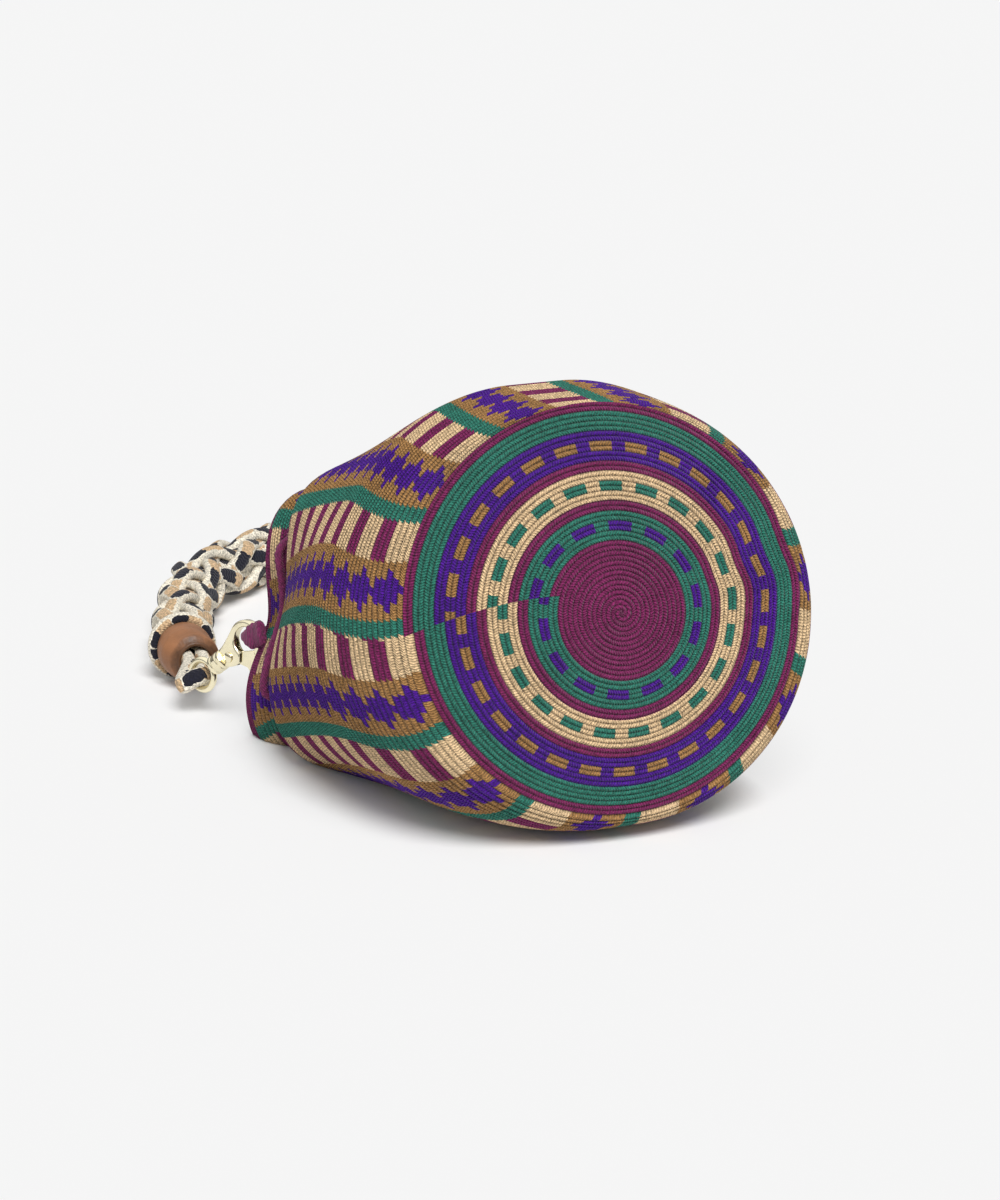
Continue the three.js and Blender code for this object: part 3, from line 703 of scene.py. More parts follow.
class FinishGraph(Graph):
    """The graph of a new material, with the material's own shader."""

    def __init__(self, name: str, **sockets: Wire | Dye | float) -> None:
        """Makes the material.

        Args:
            name: the finish's name.
            sockets: values for the shader's inputs, with underscores for spaces.
        """
        self.material = bpy.data.materials.new(name)
        self.material.use_nodes = True
        super().__init__(self.material.node_tree)
        self.shader = self.tree.nodes["Principled BSDF"]
        self.dress(**sockets)

    def dress(self, **sockets: Wire | Dye | float) -> None:
        """Feeds the shader's inputs, named with underscores for spaces."""
        for name, value in sockets.items():
            self.feed(self.shader.inputs[name.replace("_", " ")], value)


def group_of(name: str, inputs: dict[str, str], outputs: dict[str, str]) -> tuple[Graph, dict, dict]:
    """A new shader node group.

    Args:
        name: the group's name.
        inputs: input names and their kinds, Float, Color or Vector.
        outputs: output names and their kinds.

    Returns:
        Its graph, its inputs by name as wires, and its outputs by name as sockets to feed.
    """
    tree = bpy.data.node_groups.new(name, "ShaderNodeTree")
    for names, way in ((inputs, "INPUT"), (outputs, "OUTPUT")):
        for socket, kind in names.items():
            tree.interface.new_socket(name=socket, in_out=way, socket_type=f"NodeSocket{kind}")
    graph = Graph(tree)
    source, target = graph.node("NodeGroupInput"), graph.node("NodeGroupOutput")
    wires = {socket: Wire(graph, source.outputs[socket]) for socket in inputs}
    return graph, wires, {socket: target.inputs[socket] for socket in outputs}


def fibre_group() -> bpy.types.NodeTree:
    """Spun fibres: uneven dye, fine pale hairs and a fine relief."""
    graph, given, made = group_of(
        "spun_fibres", {"Color": "Color", "Scale": "Float"}, {"Color": "Color", "Height": "Float"}
    )
    place = graph.place()
    cloud = graph.noise(place, 60.0)
    hairs = graph.noise(place, given["Scale"], 3.0)
    tone = graph.ranged(cloud, 0.3, 0.7, -0.1, 0.1) + graph.ranged(hairs, 0.25, 0.75, 0.5, 1.52)
    graph.feed(made["Color"], graph.scaled(given["Color"], tone))
    graph.feed(made["Height"], hairs)
    return graph.tree


def wear_group() -> bpy.types.NodeTree:
    """Handling: a slow change of roughness with fine rubbed marks."""
    graph, given, made = group_of("handled", {"Low": "Float", "High": "Float"}, {"Roughness": "Float"})
    place = graph.place()
    stretched = graph.value("ShaderNodeMapping", {"Vector": place, "Scale": (900.0, 200.0, 900.0)})
    marks, slow = graph.noise(stretched, 1.0, 4.0), graph.noise(place, 90.0)
    share = graph.ranged(marks * 0.5 + slow * 0.5, 0.3, 0.7, 0.0, 1.0)
    graph.feed(made["Roughness"], share * (given["High"] - given["Low"]) + given["Low"])
    return graph.tree


@dataclass(frozen=True)
class Workshop:
    """The shared shader groups, and how finishes use them.

    Args:
        fibres: the group of spun fibres.
        handled: the group of rubbed marks.
        fineness: the scale of the fibres' noise.
        fuzz: how much the fibres add to a yarn's relief.
        roughness: how matt a yarn is.
        sheen_roughness: how widely its sheen spreads.
    """

    fibres: bpy.types.NodeTree
    handled: bpy.types.NodeTree
    fineness: float = 900.0
    fuzz: float = 0.5
    roughness: float = 0.95
    sheen_roughness: float = 0.5

    def yarn(self, graph: FinishGraph, colour: Wire, height: Wire, depth: float) -> None:
        """Finishes a yarn surface: its fibres over its colour and its relief.

        Args:
            graph: the finish's graph.
            colour: the dyed colour.
            height: the relief of its stitches or plies.
            depth: how deep that relief is, in millimetres.
        """
        inputs = {"Color": colour, "Scale": self.fineness}
        fibres = graph.node("ShaderNodeGroup", inputs, node_tree=self.fibres)
        relief = Wire(graph, fibres.outputs["Height"]) * self.fuzz + height
        graph.dress(
            Base_Color=Wire(graph, fibres.outputs["Color"]),
            Roughness=self.roughness,
            Sheen_Roughness=self.sheen_roughness,
            Normal=graph.bump(relief, depth),
        )

    def wear(self, graph: FinishGraph, low: float, high: float) -> Wire:
        """A roughness between two, from handling."""
        return graph.value("ShaderNodeGroup", {"Low": low, "High": high}, node_tree=self.handled)


# The bag's form


@dataclass(frozen=True)
class BagForm:
    """The bag's outer surface, by turn and by distance along the fabric from the base's centre."""

    round_pitch: float = 4.33
    base_rounds: int = 21
    thickness: float = 3.2
    # How far the crocheted ridges stand out from the surface
    ridge: float = 0.8
    ring_radius: float = 87.3
    ring_centre: float = 97.9
    belly_half_width: float = 104.8
    belly_half_height: float = 92.8
    belly_sink: float = 1.0
    belly_distance: float = 45.0
    mouth_half_width: float = 80.6
    mouth_half_height: float = 64.4
    mouth_centre: float = 43.7
    wall_length: float = 188.0
    base_dome: float = 15.8
    axial_share: float = 0.955
    taper_power: float = 1.25
    # Slopes of the base's ring and the mouth, in degrees
    ring_lean: float = 12.7
    ring_skew: float = -8.5
    mouth_skew: float = -6.1
    mouth_shift: float = -2.0
    mouth_spread: float = 24.8
    pear_share: float = 0.12
    pear_reach: float = 60.0
    floor_softness: float = 2.0
    fold_start: float = 60.0
    origin_back: float = 95.0
    string_depth: float = 27.0
    cinch_depth: float = 6.0
    cinch_reach: float = 13.0
    # Gathers towards the mouth: turn and half-width in degrees, height outwards
    folds: tuple = (
        (145, 13, 17),
        (174, 17, -13),
        (214, 13, 5.5),
        (328, 12, 7),
        (0, 13, -13),
        (32, 12, 9),
        (60, 11, -9),
        (86, 11, 6),
        (111, 10, -4),
    )

    @property
    def base_radius(self) -> float:
        """The flat radius of the base."""
        return self.base_rounds * self.round_pitch

    @property
    def length(self) -> float:
        """The fabric's length from the base's centre to the rim."""
        return self.base_radius + self.wall_length

    @property
    def mouth_y(self) -> float:
        """Where the mouth's plane crosses the Y axis."""
        return self.axial_share * self.wall_length - self.origin_back

    def station(self, ring: float, belly: float, mouth: float, along: np.ndarray) -> np.ndarray:
        """A size along the wall: a round swell from ring to belly, then a taper to the mouth.

        Args:
            ring: the size at the base's ring.
            belly: the size at the belly.
            mouth: the size at the mouth.
            along: distances along the wall.

        Returns:
            The size at each distance.
        """
        rise = np.clip(along / self.belly_distance, 0, 1)
        taper = np.clip((along - self.belly_distance) / (self.wall_length - self.belly_distance), 0, 1)
        swell = np.sqrt(1 - (1 - rise) ** 2)
        return ring + (belly - ring) * swell + (mouth - belly) * taper**self.taper_power

    def widths(self, along: np.ndarray) -> np.ndarray:
        """The half-width along the wall."""
        return self.station(self.ring_radius, self.belly_half_width, self.mouth_half_width, along)

    def section(
        self, turn: np.ndarray, half_width: np.ndarray, half_height: np.ndarray, spread: np.ndarray
    ) -> tuple[np.ndarray, np.ndarray, np.ndarray, np.ndarray]:
        """A section with round ends and a straight top and bottom, walked from its left end.

        Args:
            turn: the turns.
            half_width: half the section's width.
            half_height: half its height.
            spread: how far the fabric slides from its sides towards its top and bottom.

        Returns:
            Its x and z, and the x and z of its outward direction.
        """
        radius = np.minimum(half_height, half_width)
        straight = half_width - radius
        perimeter = TAU * radius + 4 * straight
        from_left = np.mod(turn, TAU) - np.pi
        walk = perimeter * from_left / TAU + spread * np.sin(from_left)
        side, length = np.sign(walk), np.abs(walk)
        quarter = np.pi / 2 * radius
        first = np.clip(length / radius, 0, np.pi / 2)
        run = np.clip(length - quarter, 0, 2 * straight)
        second = np.clip((length - quarter - 2 * straight) / radius, 0, np.pi / 2)
        angle = first + second
        x = run - straight - radius * np.cos(angle)
        return x, -side * radius * np.sin(angle), -np.cos(angle), -side * np.sin(angle)

    def fold_height(self, turn: np.ndarray, along: np.ndarray) -> np.ndarray:
        """How far the gathers stand out: a bell for each fold, less the waist at the drawstring.

        Args:
            turn: the turns.
            along: distances along the wall.

        Returns:
            The height outwards.
        """
        degrees = np.degrees(turn)[..., None]
        place, width, height = np.array(self.folds, float).T
        away = np.mod(degrees - place + 180, 360) - 180
        ridges = (height * np.exp(-((away / width) ** 2))).sum(axis=-1)
        waist = (along - (self.wall_length - self.string_depth)) / self.cinch_reach
        gathers = ridges * smoothstep(along, self.fold_start, self.wall_length)
        return gathers - self.cinch_depth * np.exp(-(waist**2))

    def rest_on_floor(self, height: np.ndarray) -> np.ndarray:
        """Cloth pressed flat where it would sink into the floor."""
        soft = self.floor_softness
        eased = (height + soft) ** 2 / (4 * soft)
        return np.where(height >= soft, height, np.where(height <= -soft, 0, eased))

    def wall_point(self, turn: np.ndarray, along: np.ndarray) -> np.ndarray:
        """Points of the wall: its section with gathers, leaned, skewed and laid on the floor.

        Args:
            turn: the turns.
            along: distances along the wall.

        Returns:
            The points.
        """
        share = along / self.wall_length
        belly_centre = self.belly_half_height - self.belly_sink
        half_width = self.widths(along)
        half_height = self.station(
            self.ring_radius, self.belly_half_height, self.mouth_half_height, along
        )
        centre = self.station(self.ring_centre, belly_centre, self.mouth_centre, along)
        x, z, out_x, out_z = self.section(turn, half_width, half_height, self.mouth_spread * share)
        fold = self.fold_height(turn, along)
        up = z + fold * out_z
        pear = 1 - self.pear_share * (up / half_height) * smoothstep(along, 0, self.pear_reach)
        across = (x + fold * out_x) * pear
        lean = np.radians(self.ring_lean * (1 - share))
        skew = np.tan(np.radians(self.ring_skew + (self.mouth_skew - self.ring_skew) * share))
        return np.stack([
            across + self.mouth_shift * share**2,
            along * self.axial_share + up * np.sin(lean) + skew * across - self.origin_back,
            self.rest_on_floor(centre + up * np.cos(lean)),
        ], axis=-1)

    def point(self, turn: np.ndarray, distance: np.ndarray) -> np.ndarray:
        """Points of the outer surface: a domed base inside the ring, and the wall beyond it.

        Args:
            turn: the turns.
            distance: distances along the fabric from the base's centre.

        Returns:
            The points.
        """
        turn, distance = np.broadcast_arrays(np.asarray(turn, float), np.asarray(distance, float))
        rim = self.wall_point(turn, np.maximum(distance - self.base_radius, 0))
        share = np.clip(distance / self.base_radius, 0, 1)[..., None]
        centre = np.array([0, -self.origin_back, self.ring_centre])
        lean = np.radians(self.ring_lean)
        normal = unit(np.array([np.tan(np.radians(self.ring_skew)), -np.cos(lean), np.sin(lean)]))
        return centre + (rim - centre) * share + normal * self.base_dome * (1 - share**2)

    def normal(self, turn: np.ndarray, distance: np.ndarray) -> np.ndarray:
        """The outward direction of the surface, from points a small step to each side.

        Args:
            turn: the turns.
            distance: distances along the fabric from the base's centre.

        Returns:
            The directions.
        """
        step = 0.5
        swing = step / self.base_radius
        distance = np.maximum(distance, step)
        high = self.point(turn, np.minimum(distance + step, self.length))
        along = high - self.point(turn, distance - step)
        around = self.point(turn + swing, distance) - self.point(turn - swing, distance)
        return unit(np.cross(along, around))

    def fabric(self, turn: np.ndarray, distance: np.ndarray, offset: np.ndarray) -> np.ndarray:
        """Points at an offset from the surface, kept above the floor.

        Args:
            turn: the turns.
            distance: distances along the fabric from the base's centre.
            offset: how far out from the surface.

        Returns:
            The points.
        """
        offset = np.asarray(offset, float)[..., None]
        points = self.point(turn, distance) + self.normal(turn, distance) * offset
        points[..., 2] = np.maximum(points[..., 2], 0)
        return points

    def even_wall(self, shares: np.ndarray) -> np.ndarray:
        """Distances along the wall at shares of its true length over the swelling outline."""
        along = np.linspace(0, self.wall_length, 400)
        outline = np.column_stack([self.axial_share * along, self.widths(along)])
        lengths = distances_along(outline)
        return np.interp(shares * lengths[-1], lengths, along)


@dataclass(frozen=True)
class CrochetShell:
    """The bag body: spiral rounds of stitches over the bag's form, a turned rim and an inner face."""

    form: BagForm
    columns: int = 224
    base_steps: int = 8
    wall_steps: int = 3
    wall_rounds: int = 70
    inner_rows: int = 36
    ridge_power: float = 0.7
    # Where the rows over the fabric's edge lie on its half circle, in degrees
    rim_angles: tuple = (30, 65, 100, 135, 165)
    # Where each round steps up, in degrees: its turn on the wall and its swing on the base,
    # which no longer grows inside a share of the base
    jog: float = 180.2
    jog_swing: float = 18.5
    jog_inside: float = 0.1
    # A pucker of the base: its turn and half-width in degrees, its height in rounds, and the
    # rounds over which it grows
    pucker_turn: float = 9.0
    pucker_width: float = 9.0
    pucker: float = 0.6
    pucker_rounds: tuple = (8.0, 16.0)

    def spiral(self, rounds: np.ndarray, turn: np.ndarray) -> np.ndarray:
        """Rounds counted along the spiral: each turn climbs by one, and a pucker shifts a few.

        Args:
            rounds: the rounds counted straight out from the base's centre.
            turn: the turns.

        Returns:
            The count along the spiral.
        """
        share = np.clip(rounds / self.form.base_rounds, self.jog_inside, 1)
        climb = fraction(turn / TAU - (self.jog + self.jog_swing * np.log(share)) / 360) - 0.5
        away = (fraction(turn / TAU - self.pucker_turn / 360 + 0.5) - 0.5) * 360 / self.pucker_width
        shift = self.pucker * away * np.exp(-(away**2)) * smoothstep(rounds, *self.pucker_rounds)
        return rounds - climb + shift

    def build(self) -> bpy.types.Object:
        """The shell's mesh.

        The outer face is the form raised by a rounded ridge for each round of the wall and two
        for each round of the base, the rim is a half circle, and the inner face is plain.

        Returns:
            The piece, whose uv holds the share of a turn and the round.
        """
        form = self.form
        base = np.arange(1, form.base_rounds * self.base_steps + 1) / self.base_steps
        wall = np.arange(1, self.wall_rounds * self.wall_steps + 1) / self.wall_steps
        rounds = np.concatenate([base, form.base_rounds + wall])
        wall_distance = form.base_radius + form.even_wall(wall / self.wall_rounds)
        distance = np.concatenate([base * form.round_pitch, wall_distance])
        turn = full_turn(self.columns)[None, :]
        spiral = self.spiral(rounds[:, None], turn)
        per_round = np.where(spiral < form.base_rounds, 2, 1)
        ridges = np.abs(np.sin(np.pi * spiral * per_round)) ** self.ridge_power
        outer = form.fabric(turn, distance[:, None], form.ridge * ridges)
        rim = self._rim(turn)
        rim_rounds = np.full(len(rim), rounds[-1] - 0.5)
        inner_distance = np.linspace(1, 0, self.inner_rows + 1)[:-1] * form.length
        inner_offset = np.full((self.inner_rows, 1), -form.thickness)
        inner = form.fabric(turn, inner_distance[:, None], inner_offset)
        inner_rounds = np.interp(inner_distance, distance, rounds)
        points = np.concatenate([outer, rim, inner])
        values = np.concatenate([rounds, rim_rounds, inner_rounds])
        uv = ring_uv(values, self.columns)[..., ::-1]
        return mesh_of("crochet_shell", [Grid(points, uv, inward=True)])

    def _rim(self, turn: np.ndarray) -> np.ndarray:
        """Rows of a half circle over the fabric's edge."""
        form = self.form
        angles = np.radians(self.rim_angles)[:, None, None]
        edge = np.full((1, 1), form.length)
        out = form.normal(turn, edge)
        onward = unit(form.point(turn, edge) - form.point(turn, edge - 1))
        half = (form.thickness + form.ridge) / 2
        middle = form.point(turn, edge) + out * (form.ridge - half)
        points = middle + half * (np.cos(angles) * out + np.sin(angles) * onward)
        points[..., 2] = np.maximum(points[..., 2], 0)
        return points


# The drawn cord


@dataclass(frozen=True)
class Drawstring:
    """A twisted plum cord threaded out and in through the wall and tied on the right side."""

    form: BagForm
    radius: float = 2.0
    clearance: float = 1.0
    plies: int = 3
    ply_pitch: float = 9.0
    ply_groove: float = 0.2
    end_ease: float = 1.5
    # Where the cord shows on the outside, in degrees of turn
    spans: tuple = ((153, 199), (312, 353), (400, 455))
    step: float = 9.0
    slack: float = 6.0
    crossing: float = 2.5
    knot_turn: float = 328.0
    knot_radius: float = 5.5
    knot_winding: float = 3.3
    knot_half_width: float = 1.8
    knot_turns: int = 2
    tail_reach: float = 42.0
    tail_spread: float = 16.0
    # A pale thread along the cord: its radius, where it starts and ends on a span, and its offset
    thread: float = 0.55
    thread_shares: tuple = (0.08, 0.92)
    thread_offset: float = 2.8

    @property
    def seat(self) -> float:
        """How far from the surface the underside of the cord lies."""
        return self.form.ridge + self.clearance

    def at(self, degrees: np.ndarray, offset: np.ndarray, onward: float = 0.0) -> np.ndarray:
        """Points of the cord's ring on the wall, by turn in degrees and offset from the surface.

        Args:
            degrees: the turns.
            offset: how far out from the surface.
            onward: how far from the cord towards the rim.

        Returns:
            The points.
        """
        degrees = np.asarray(degrees, float)
        distance = self.form.length - self.form.string_depth + onward
        return self.form.fabric(np.radians(degrees), np.full(degrees.shape, distance), offset)

    def run(self, start: float, end: float, offset: float, slack: float) -> np.ndarray:
        """A run of the cord between two turns, which may hang slack from the wall."""
        share = np.linspace(0, 1, max(2, round((end - start) / self.step) + 1))
        return self.at(start + (end - start) * share, offset - slack * np.sin(np.pi * share))

    def path(self) -> np.ndarray:
        """The cord's way from the knot, round the bag and back, in and out of the eyelets."""
        outside = self.seat + self.radius
        inside = -(self.form.thickness + self.clearance + self.radius)
        within = np.array([-self.form.thickness / 2])
        left, tied, top = self.spans
        laps = [tied, top, (left[0] + 360, left[1] + 360), (tied[0] + 360, tied[1] + 360)]
        final = len(laps) - 1
        runs = []
        for number, (start, end) in enumerate(laps):
            first = self.knot_turn if number == 0 else start + self.crossing
            last = self.knot_turn + 360 if number == final else end - self.crossing
            runs.append(self.run(first, last, outside, 0))
            if number < final:
                onward = laps[number + 1][0]
                runs.append(self.at([end], within))
                runs.append(self.run(end + self.crossing, onward - self.crossing, inside, self.slack))
                runs.append(self.at([onward], within))
        return np.vstack(runs)

    def build(self) -> bpy.types.Object:
        """The cord, its knot of wound turns, its two tails on the floor and its pale threads."""
        form = self.form
        knot = self.at([self.knot_turn], np.array([self.seat + self.knot_radius]))[0]
        route = self.path()
        route[0] = route[-1] = knot
        string = np.array(form.length - form.string_depth)
        flat = unit(form.normal(np.radians(self.knot_turn), string) * [1, 1, 0])
        beside = np.cross(UP, flat)
        paths = [curve_through(route, 620)]
        paths += [self._tail(knot, flat, beside * side) for side in (-1, 1)]
        share = np.linspace(0, 1, 60)[:, None]
        turns = share * self.knot_turns * TAU
        winding = self.knot_winding * (np.cos(turns) * beside + np.sin(turns) * UP)
        paths.append(knot + winding + (2 * share - 1) * self.knot_half_width * flat)
        section = RoundSection(
            self.radius, 14, self.plies, self.ply_pitch, self.ply_groove, self.end_ease
        )
        grids = [tube(path, UP, section) for path in paths]
        grids += [self._thread(*span) for span in self.spans]
        return mesh_of("plum_drawstring", grids)

    def _tail(self, knot: np.ndarray, flat: np.ndarray, beside: np.ndarray) -> np.ndarray:
        """A tail's way from the knot down to the floor, by shares of its reach and spread.

        Args:
            knot: the knot's middle.
            flat: the level way out of the bag.
            beside: the level way to this tail's side.

        Returns:
            The path.
        """
        low = self.radius + GAP
        steps = (
            (0.22, 0.2, (low + knot[2]) / 2),
            (0.5, 0.5, low + GAP),
            (0.75, 0.85, low),
            (1, 1, low),
        )
        points = [knot]
        for reach, spread, height in steps:
            x, y, _ = knot + flat * reach * self.tail_reach + beside * spread * self.tail_spread
            points.append(np.array([x, y, height]))
        return curve_through(points, 60)

    def _thread(self, start: float, end: float) -> Grid:
        """A thin pale thread along the cord's rim side, marked by its second coordinate."""
        share = np.linspace(*self.thread_shares, 40)
        outward = np.full(share.shape, self.seat + self.thread_offset)
        path = self.at(start + (end - start) * share, outward, self.radius)
        thread = tube(path, UP, RoundSection(self.thread, 8, ease=1.0))
        thread.uv[..., 1] += PALE_MARK
        return thread


# Strap ends


class Side(StrEnum):
    """The strap's two ends, which start the names of their pieces."""

    NEAR = "near"
    FAR = "far"


@dataclass(frozen=True)
class EndSetting:
    """How one end of the strap lies, in degrees.

    Args:
        turn: where its loop tab sits on the rim.
        lift: how far the tab lifts from the snap's line.
        lead: the way from the eye to the wrap, seen from above.
        heading: the way of the wrap itself, seen from above.
    """

    turn: float
    lift: float
    lead: float
    heading: float


@dataclass(frozen=True)
class EyeRing:
    """The size of a swivel's eye, a ring of round wire in the snap's plane.

    Args:
        centre: how far its middle lies along the snap's axis.
        radius: its inner radius.
        wire: the radius of its wire.
    """

    centre: float = 17.9
    radius: float = 5.4
    wire: float = 1.6


@dataclass(frozen=True)
class StrapEnd:
    """One end of the strap: its place, loop tab, rope loop, leather wrap and rope collar."""

    side: Side
    form: BagForm
    place: Place
    setting: EndSetting
    ring: EyeRing = EyeRing()
    tab_radius: float = 2.4
    tab_broaden: float = 3.8
    tab_sewn: float = 9.0
    tab_half_gap: float = 7.4
    tab_apex: tuple = (-19.4, 0.0, 1.8)
    tab_stitch: float = 3.6
    tab_knobs: float = 0.1
    rope_radius: float = 2.8
    rope_width: float = 4.3
    rope_thickness: float = 3.3
    core_radius: float = 10.3
    wrap_length: float = 18.0
    wrap_dome: float = 8.0
    dome_power: float = 3.2
    # How far the wrap's opening sits off its middle, across and upward
    opening_shift: tuple = (-2.6, -1.4)
    leather: float = 2.2
    crown: float = 0.5
    collar_rope: float = 3.0
    loop_length: float = 35.0
    loop_splay: float = 3.6

    @property
    def collar_radius(self) -> float:
        """The radius at the middle of the collar's rope."""
        return self.core_radius + GAP + self.collar_rope

    @property
    def core_length(self) -> float:
        """The length of rope inside the wrap and the collar."""
        return self.wrap_length + GAP + 2 * self.collar_rope

    @property
    def sleeve(self) -> Place:
        """The wrap's front end, with the strap's direction as its axis."""
        strap = level(self.setting.heading)
        x, y, _ = self.place.at(self.ring.centre) + level(self.setting.lead) * self.loop_length
        origin = np.array([x, y, self.collar_radius + self.collar_rope])
        across = np.cross(UP, strap)
        return Place(origin, strap, across, np.cross(strap, across))

    @property
    def beside(self) -> np.ndarray:
        """The way across the snap that points out of the bag at the rim."""
        outward = self.form.normal(np.radians(self.setting.turn), np.array(self.form.length))
        return self.place.across * np.sign(outward @ self.place.across)

    def loop_tab(self) -> bpy.types.Object:
        """A crocheted cord sewn to both faces of the rim, round in the hook and broad where it is sewn.

        An oval section carried along a curve from the outer face, through the hook and back.

        Returns:
            The piece.
        """
        form, apex, beside = self.form, self.place.at(*self.tab_apex), self.beside
        lift, turn = np.radians(self.setting.lift), np.radians(self.setting.turn)
        pull = self.place.axis * np.cos(lift) + self.place.upward * np.sin(lift)
        edge, sewn = np.array(form.length), np.array(form.length - self.tab_sewn)
        outside = form.ridge + 2 * GAP + self.tab_radius
        inside = -(form.thickness + 2 * GAP + self.tab_radius)

        def bend(side: float, spread: float, back: float) -> np.ndarray:
            """A point of the loop's bow, from its apex."""
            return apex + (beside * side * spread - pull * back) * self.tab_half_gap

        points = [
            form.fabric(turn, sewn, outside),
            form.fabric(turn, edge, outside),
            bend(1, 1, 1.05),
            bend(1, 0.6, 0.3),
            apex,
            bend(-1, 0.6, 0.3),
            bend(-1, 1, 1.05),
            form.fabric(turn, edge, inside),
            form.fabric(turn, sewn, inside),
        ]
        path = curve_through(points, 140)
        nearest = np.linalg.norm(path - apex, axis=1).argmin()
        section = OvalSection(
            self.tab_radius, self.tab_radius, 20, self.tab_broaden, distances_along(path)[nearest],
            knobs=self.tab_knobs, pitch=self.tab_stitch, ease=2.0,
        )
        breadth = np.broadcast_to(np.cross(beside, pull), path.shape)
        return mesh_of(f"{self.side}_crochet_tab", [tube(path, breadth, section)])

    def rope_loop(self) -> bpy.types.Object:
        """The flat rope through the swivel's eye, and the strands' core inside the wrap.

        An oval section carried along a curve from the core, round the eye's wire and back.

        Returns:
            The piece.
        """
        axis, sleeve, beside, ring = self.place.axis, self.sleeve, self.beside, self.ring
        apex = self.place.at(ring.centre + ring.radius - self.rope_radius - 4 * GAP)
        leg_gap = ring.wire + 2 * GAP + self.rope_radius
        flank = sleeve.across if sleeve.across @ beside > 0 else -sleeve.across
        start, end, radius = self.wrap_dome + GAP, self.core_length, self.core_radius

        def leg(side: int) -> list[np.ndarray]:
            """One leg of the loop, from the core to the apex."""
            splay = flank * side * self.loop_splay
            return [
                sleeve.at(start + self.rope_radius) + splay,
                sleeve.at(-self.rope_radius, *self.opening_shift) + splay,
                apex + (beside * side * 1.15 + axis * 1.4) * leg_gap,
                apex + (beside * side * 0.8 + axis * 0.35) * leg_gap,
            ]

        path = curve_through([*leg(1), apex, *leg(-1)[::-1]], 140)
        turned_up = np.sin(np.pi * np.linspace(0, 1, len(path)))[:, None]
        breadth = UP + (self.place.upward - UP) * turned_up
        loop = tube(path, breadth, OvalSection(self.rope_width, self.rope_thickness, 20))
        core = turned([(start, 1.0), (start, radius), (end, radius), (end, 1.0)], 32, sleeve)
        return mesh_of(f"{self.side}_rope_loop", [loop, core])

    def leather_wrap(self) -> bpy.types.Object:
        """A leather sleeve whose front closes in a dome round the loop, with rolled edges.

        A closed profile, spun about the strap: a lip, the dome, a crowned body, the back edge
        and the dome's inside. Towards the lip it shifts to the opening's place.

        Returns:
            The piece.
        """
        inner, opening = self.core_radius + GAP, self.loop_splay + self.rope_radius + 2 * GAP
        outer, length = inner + self.leather, self.wrap_length
        edge, dome = self.leather / 2, self.wrap_dome
        share = np.linspace(0.08, 1, 14)
        swell = (inner - opening) * (1 - (1 - share) ** self.dome_power) ** (1 / self.dome_power)
        bend = np.radians(np.linspace(180, 0, 9))
        flat = np.linspace(0, 1, 12)[1:-1]
        rolled, crest = edge * np.sin(bend), edge * np.cos(bend)
        profile = np.vstack([
            np.column_stack([-rolled, opening + edge + crest]),
            np.column_stack([share * dome, opening + self.leather + swell]),
            np.column_stack([
                dome + (length - edge - dome) * flat, outer + self.crown * np.sin(np.pi * flat)
            ]),
            np.column_stack([length - edge + rolled, outer - edge + crest])[::-1],
            np.column_stack([share * dome, opening + swell])[::-1],
        ])
        sleeve = self.sleeve
        grid = turned(profile, 72, sleeve, closed=True)
        drawn = smoothstep(dome - profile[:, 0], 0, dome)[:, None, None]
        grid.points += drawn * (sleeve.at(0, *self.opening_shift) - sleeve.origin)
        return mesh_of(f"{self.side}_leather_sleeve", [grid])

    def rope_collar(self) -> bpy.types.Object:
        """A rope wound round the core behind the wrap."""
        sleeve = self.sleeve
        place = replace(sleeve, origin=sleeve.at(self.wrap_length + GAP + self.collar_rope))
        rope = wire_ring(place, self.collar_radius, self.collar_rope, 120, 20)
        return mesh_of(f"{self.side}_collar_rope", [rope])


# Snaps


def baked(holder: bpy.types.Object) -> bpy.types.Mesh:
    """The mesh that an object's curve or modifiers make, with the object removed."""
    graph = bpy.context.evaluated_depsgraph_get()
    mesh = bpy.data.meshes.new_from_object(holder.evaluated_get(graph))
    bpy.data.objects.remove(holder)
    return mesh


def flat_plate(outline: np.ndarray, thickness: float, edge: float) -> bpy.types.Mesh:
    """A plate with rounded edges, from an outline of x and z, centred on y.

    Args:
        outline: points of the outline, in order.
        thickness: the plate's thickness.
        edge: the radius of its rounded edges.

    Returns:
        The mesh, in millimetres, with y across the plate.
    """
    curve = bpy.data.curves.new("plate_outline", "CURVE")
    curve.dimensions = "2D"
    curve.fill_mode = "BOTH"
    curve.extrude = thickness / 2 - edge
    curve.bevel_depth = edge
    curve.bevel_resolution = 4
    curve.offset = -edge
    spline = curve.splines.new("POLY")
    spline.points.add(len(outline) - 1)
    rows = np.column_stack([outline, np.zeros(len(outline)), np.ones(len(outline))])
    spline.points.foreach_set("co", rows.ravel())
    spline.use_cyclic_u = True
    mesh = baked(linked("plate_outline", curve))
    mesh.transform(Matrix(((1, 0, 0, 0), (0, 0, -1, 0), (0, 1, 0, 0), (0, 0, 0, 1))))
    return mesh


def arc(x: float, z: float, radius: float, start: float, end: float, count: int = 24) -> np.ndarray:
    """Points of an arc in the plate's plane, by angles in degrees."""
    angles = np.radians(np.linspace(start, end, count))
    return np.column_stack([x + radius * np.cos(angles), z + radius * np.sin(angles)])


def bow(start: Sequence[float], pull: Sequence[float], end: Sequence[float]) -> np.ndarray:
    """Points of a curve from start to end that leans towards pull."""
    t = np.linspace(0, 1, 12)[:, None]
    return (1 - t) ** 2 * np.array(start) + 2 * t * (1 - t) * np.array(pull) + t**2 * np.array(end)


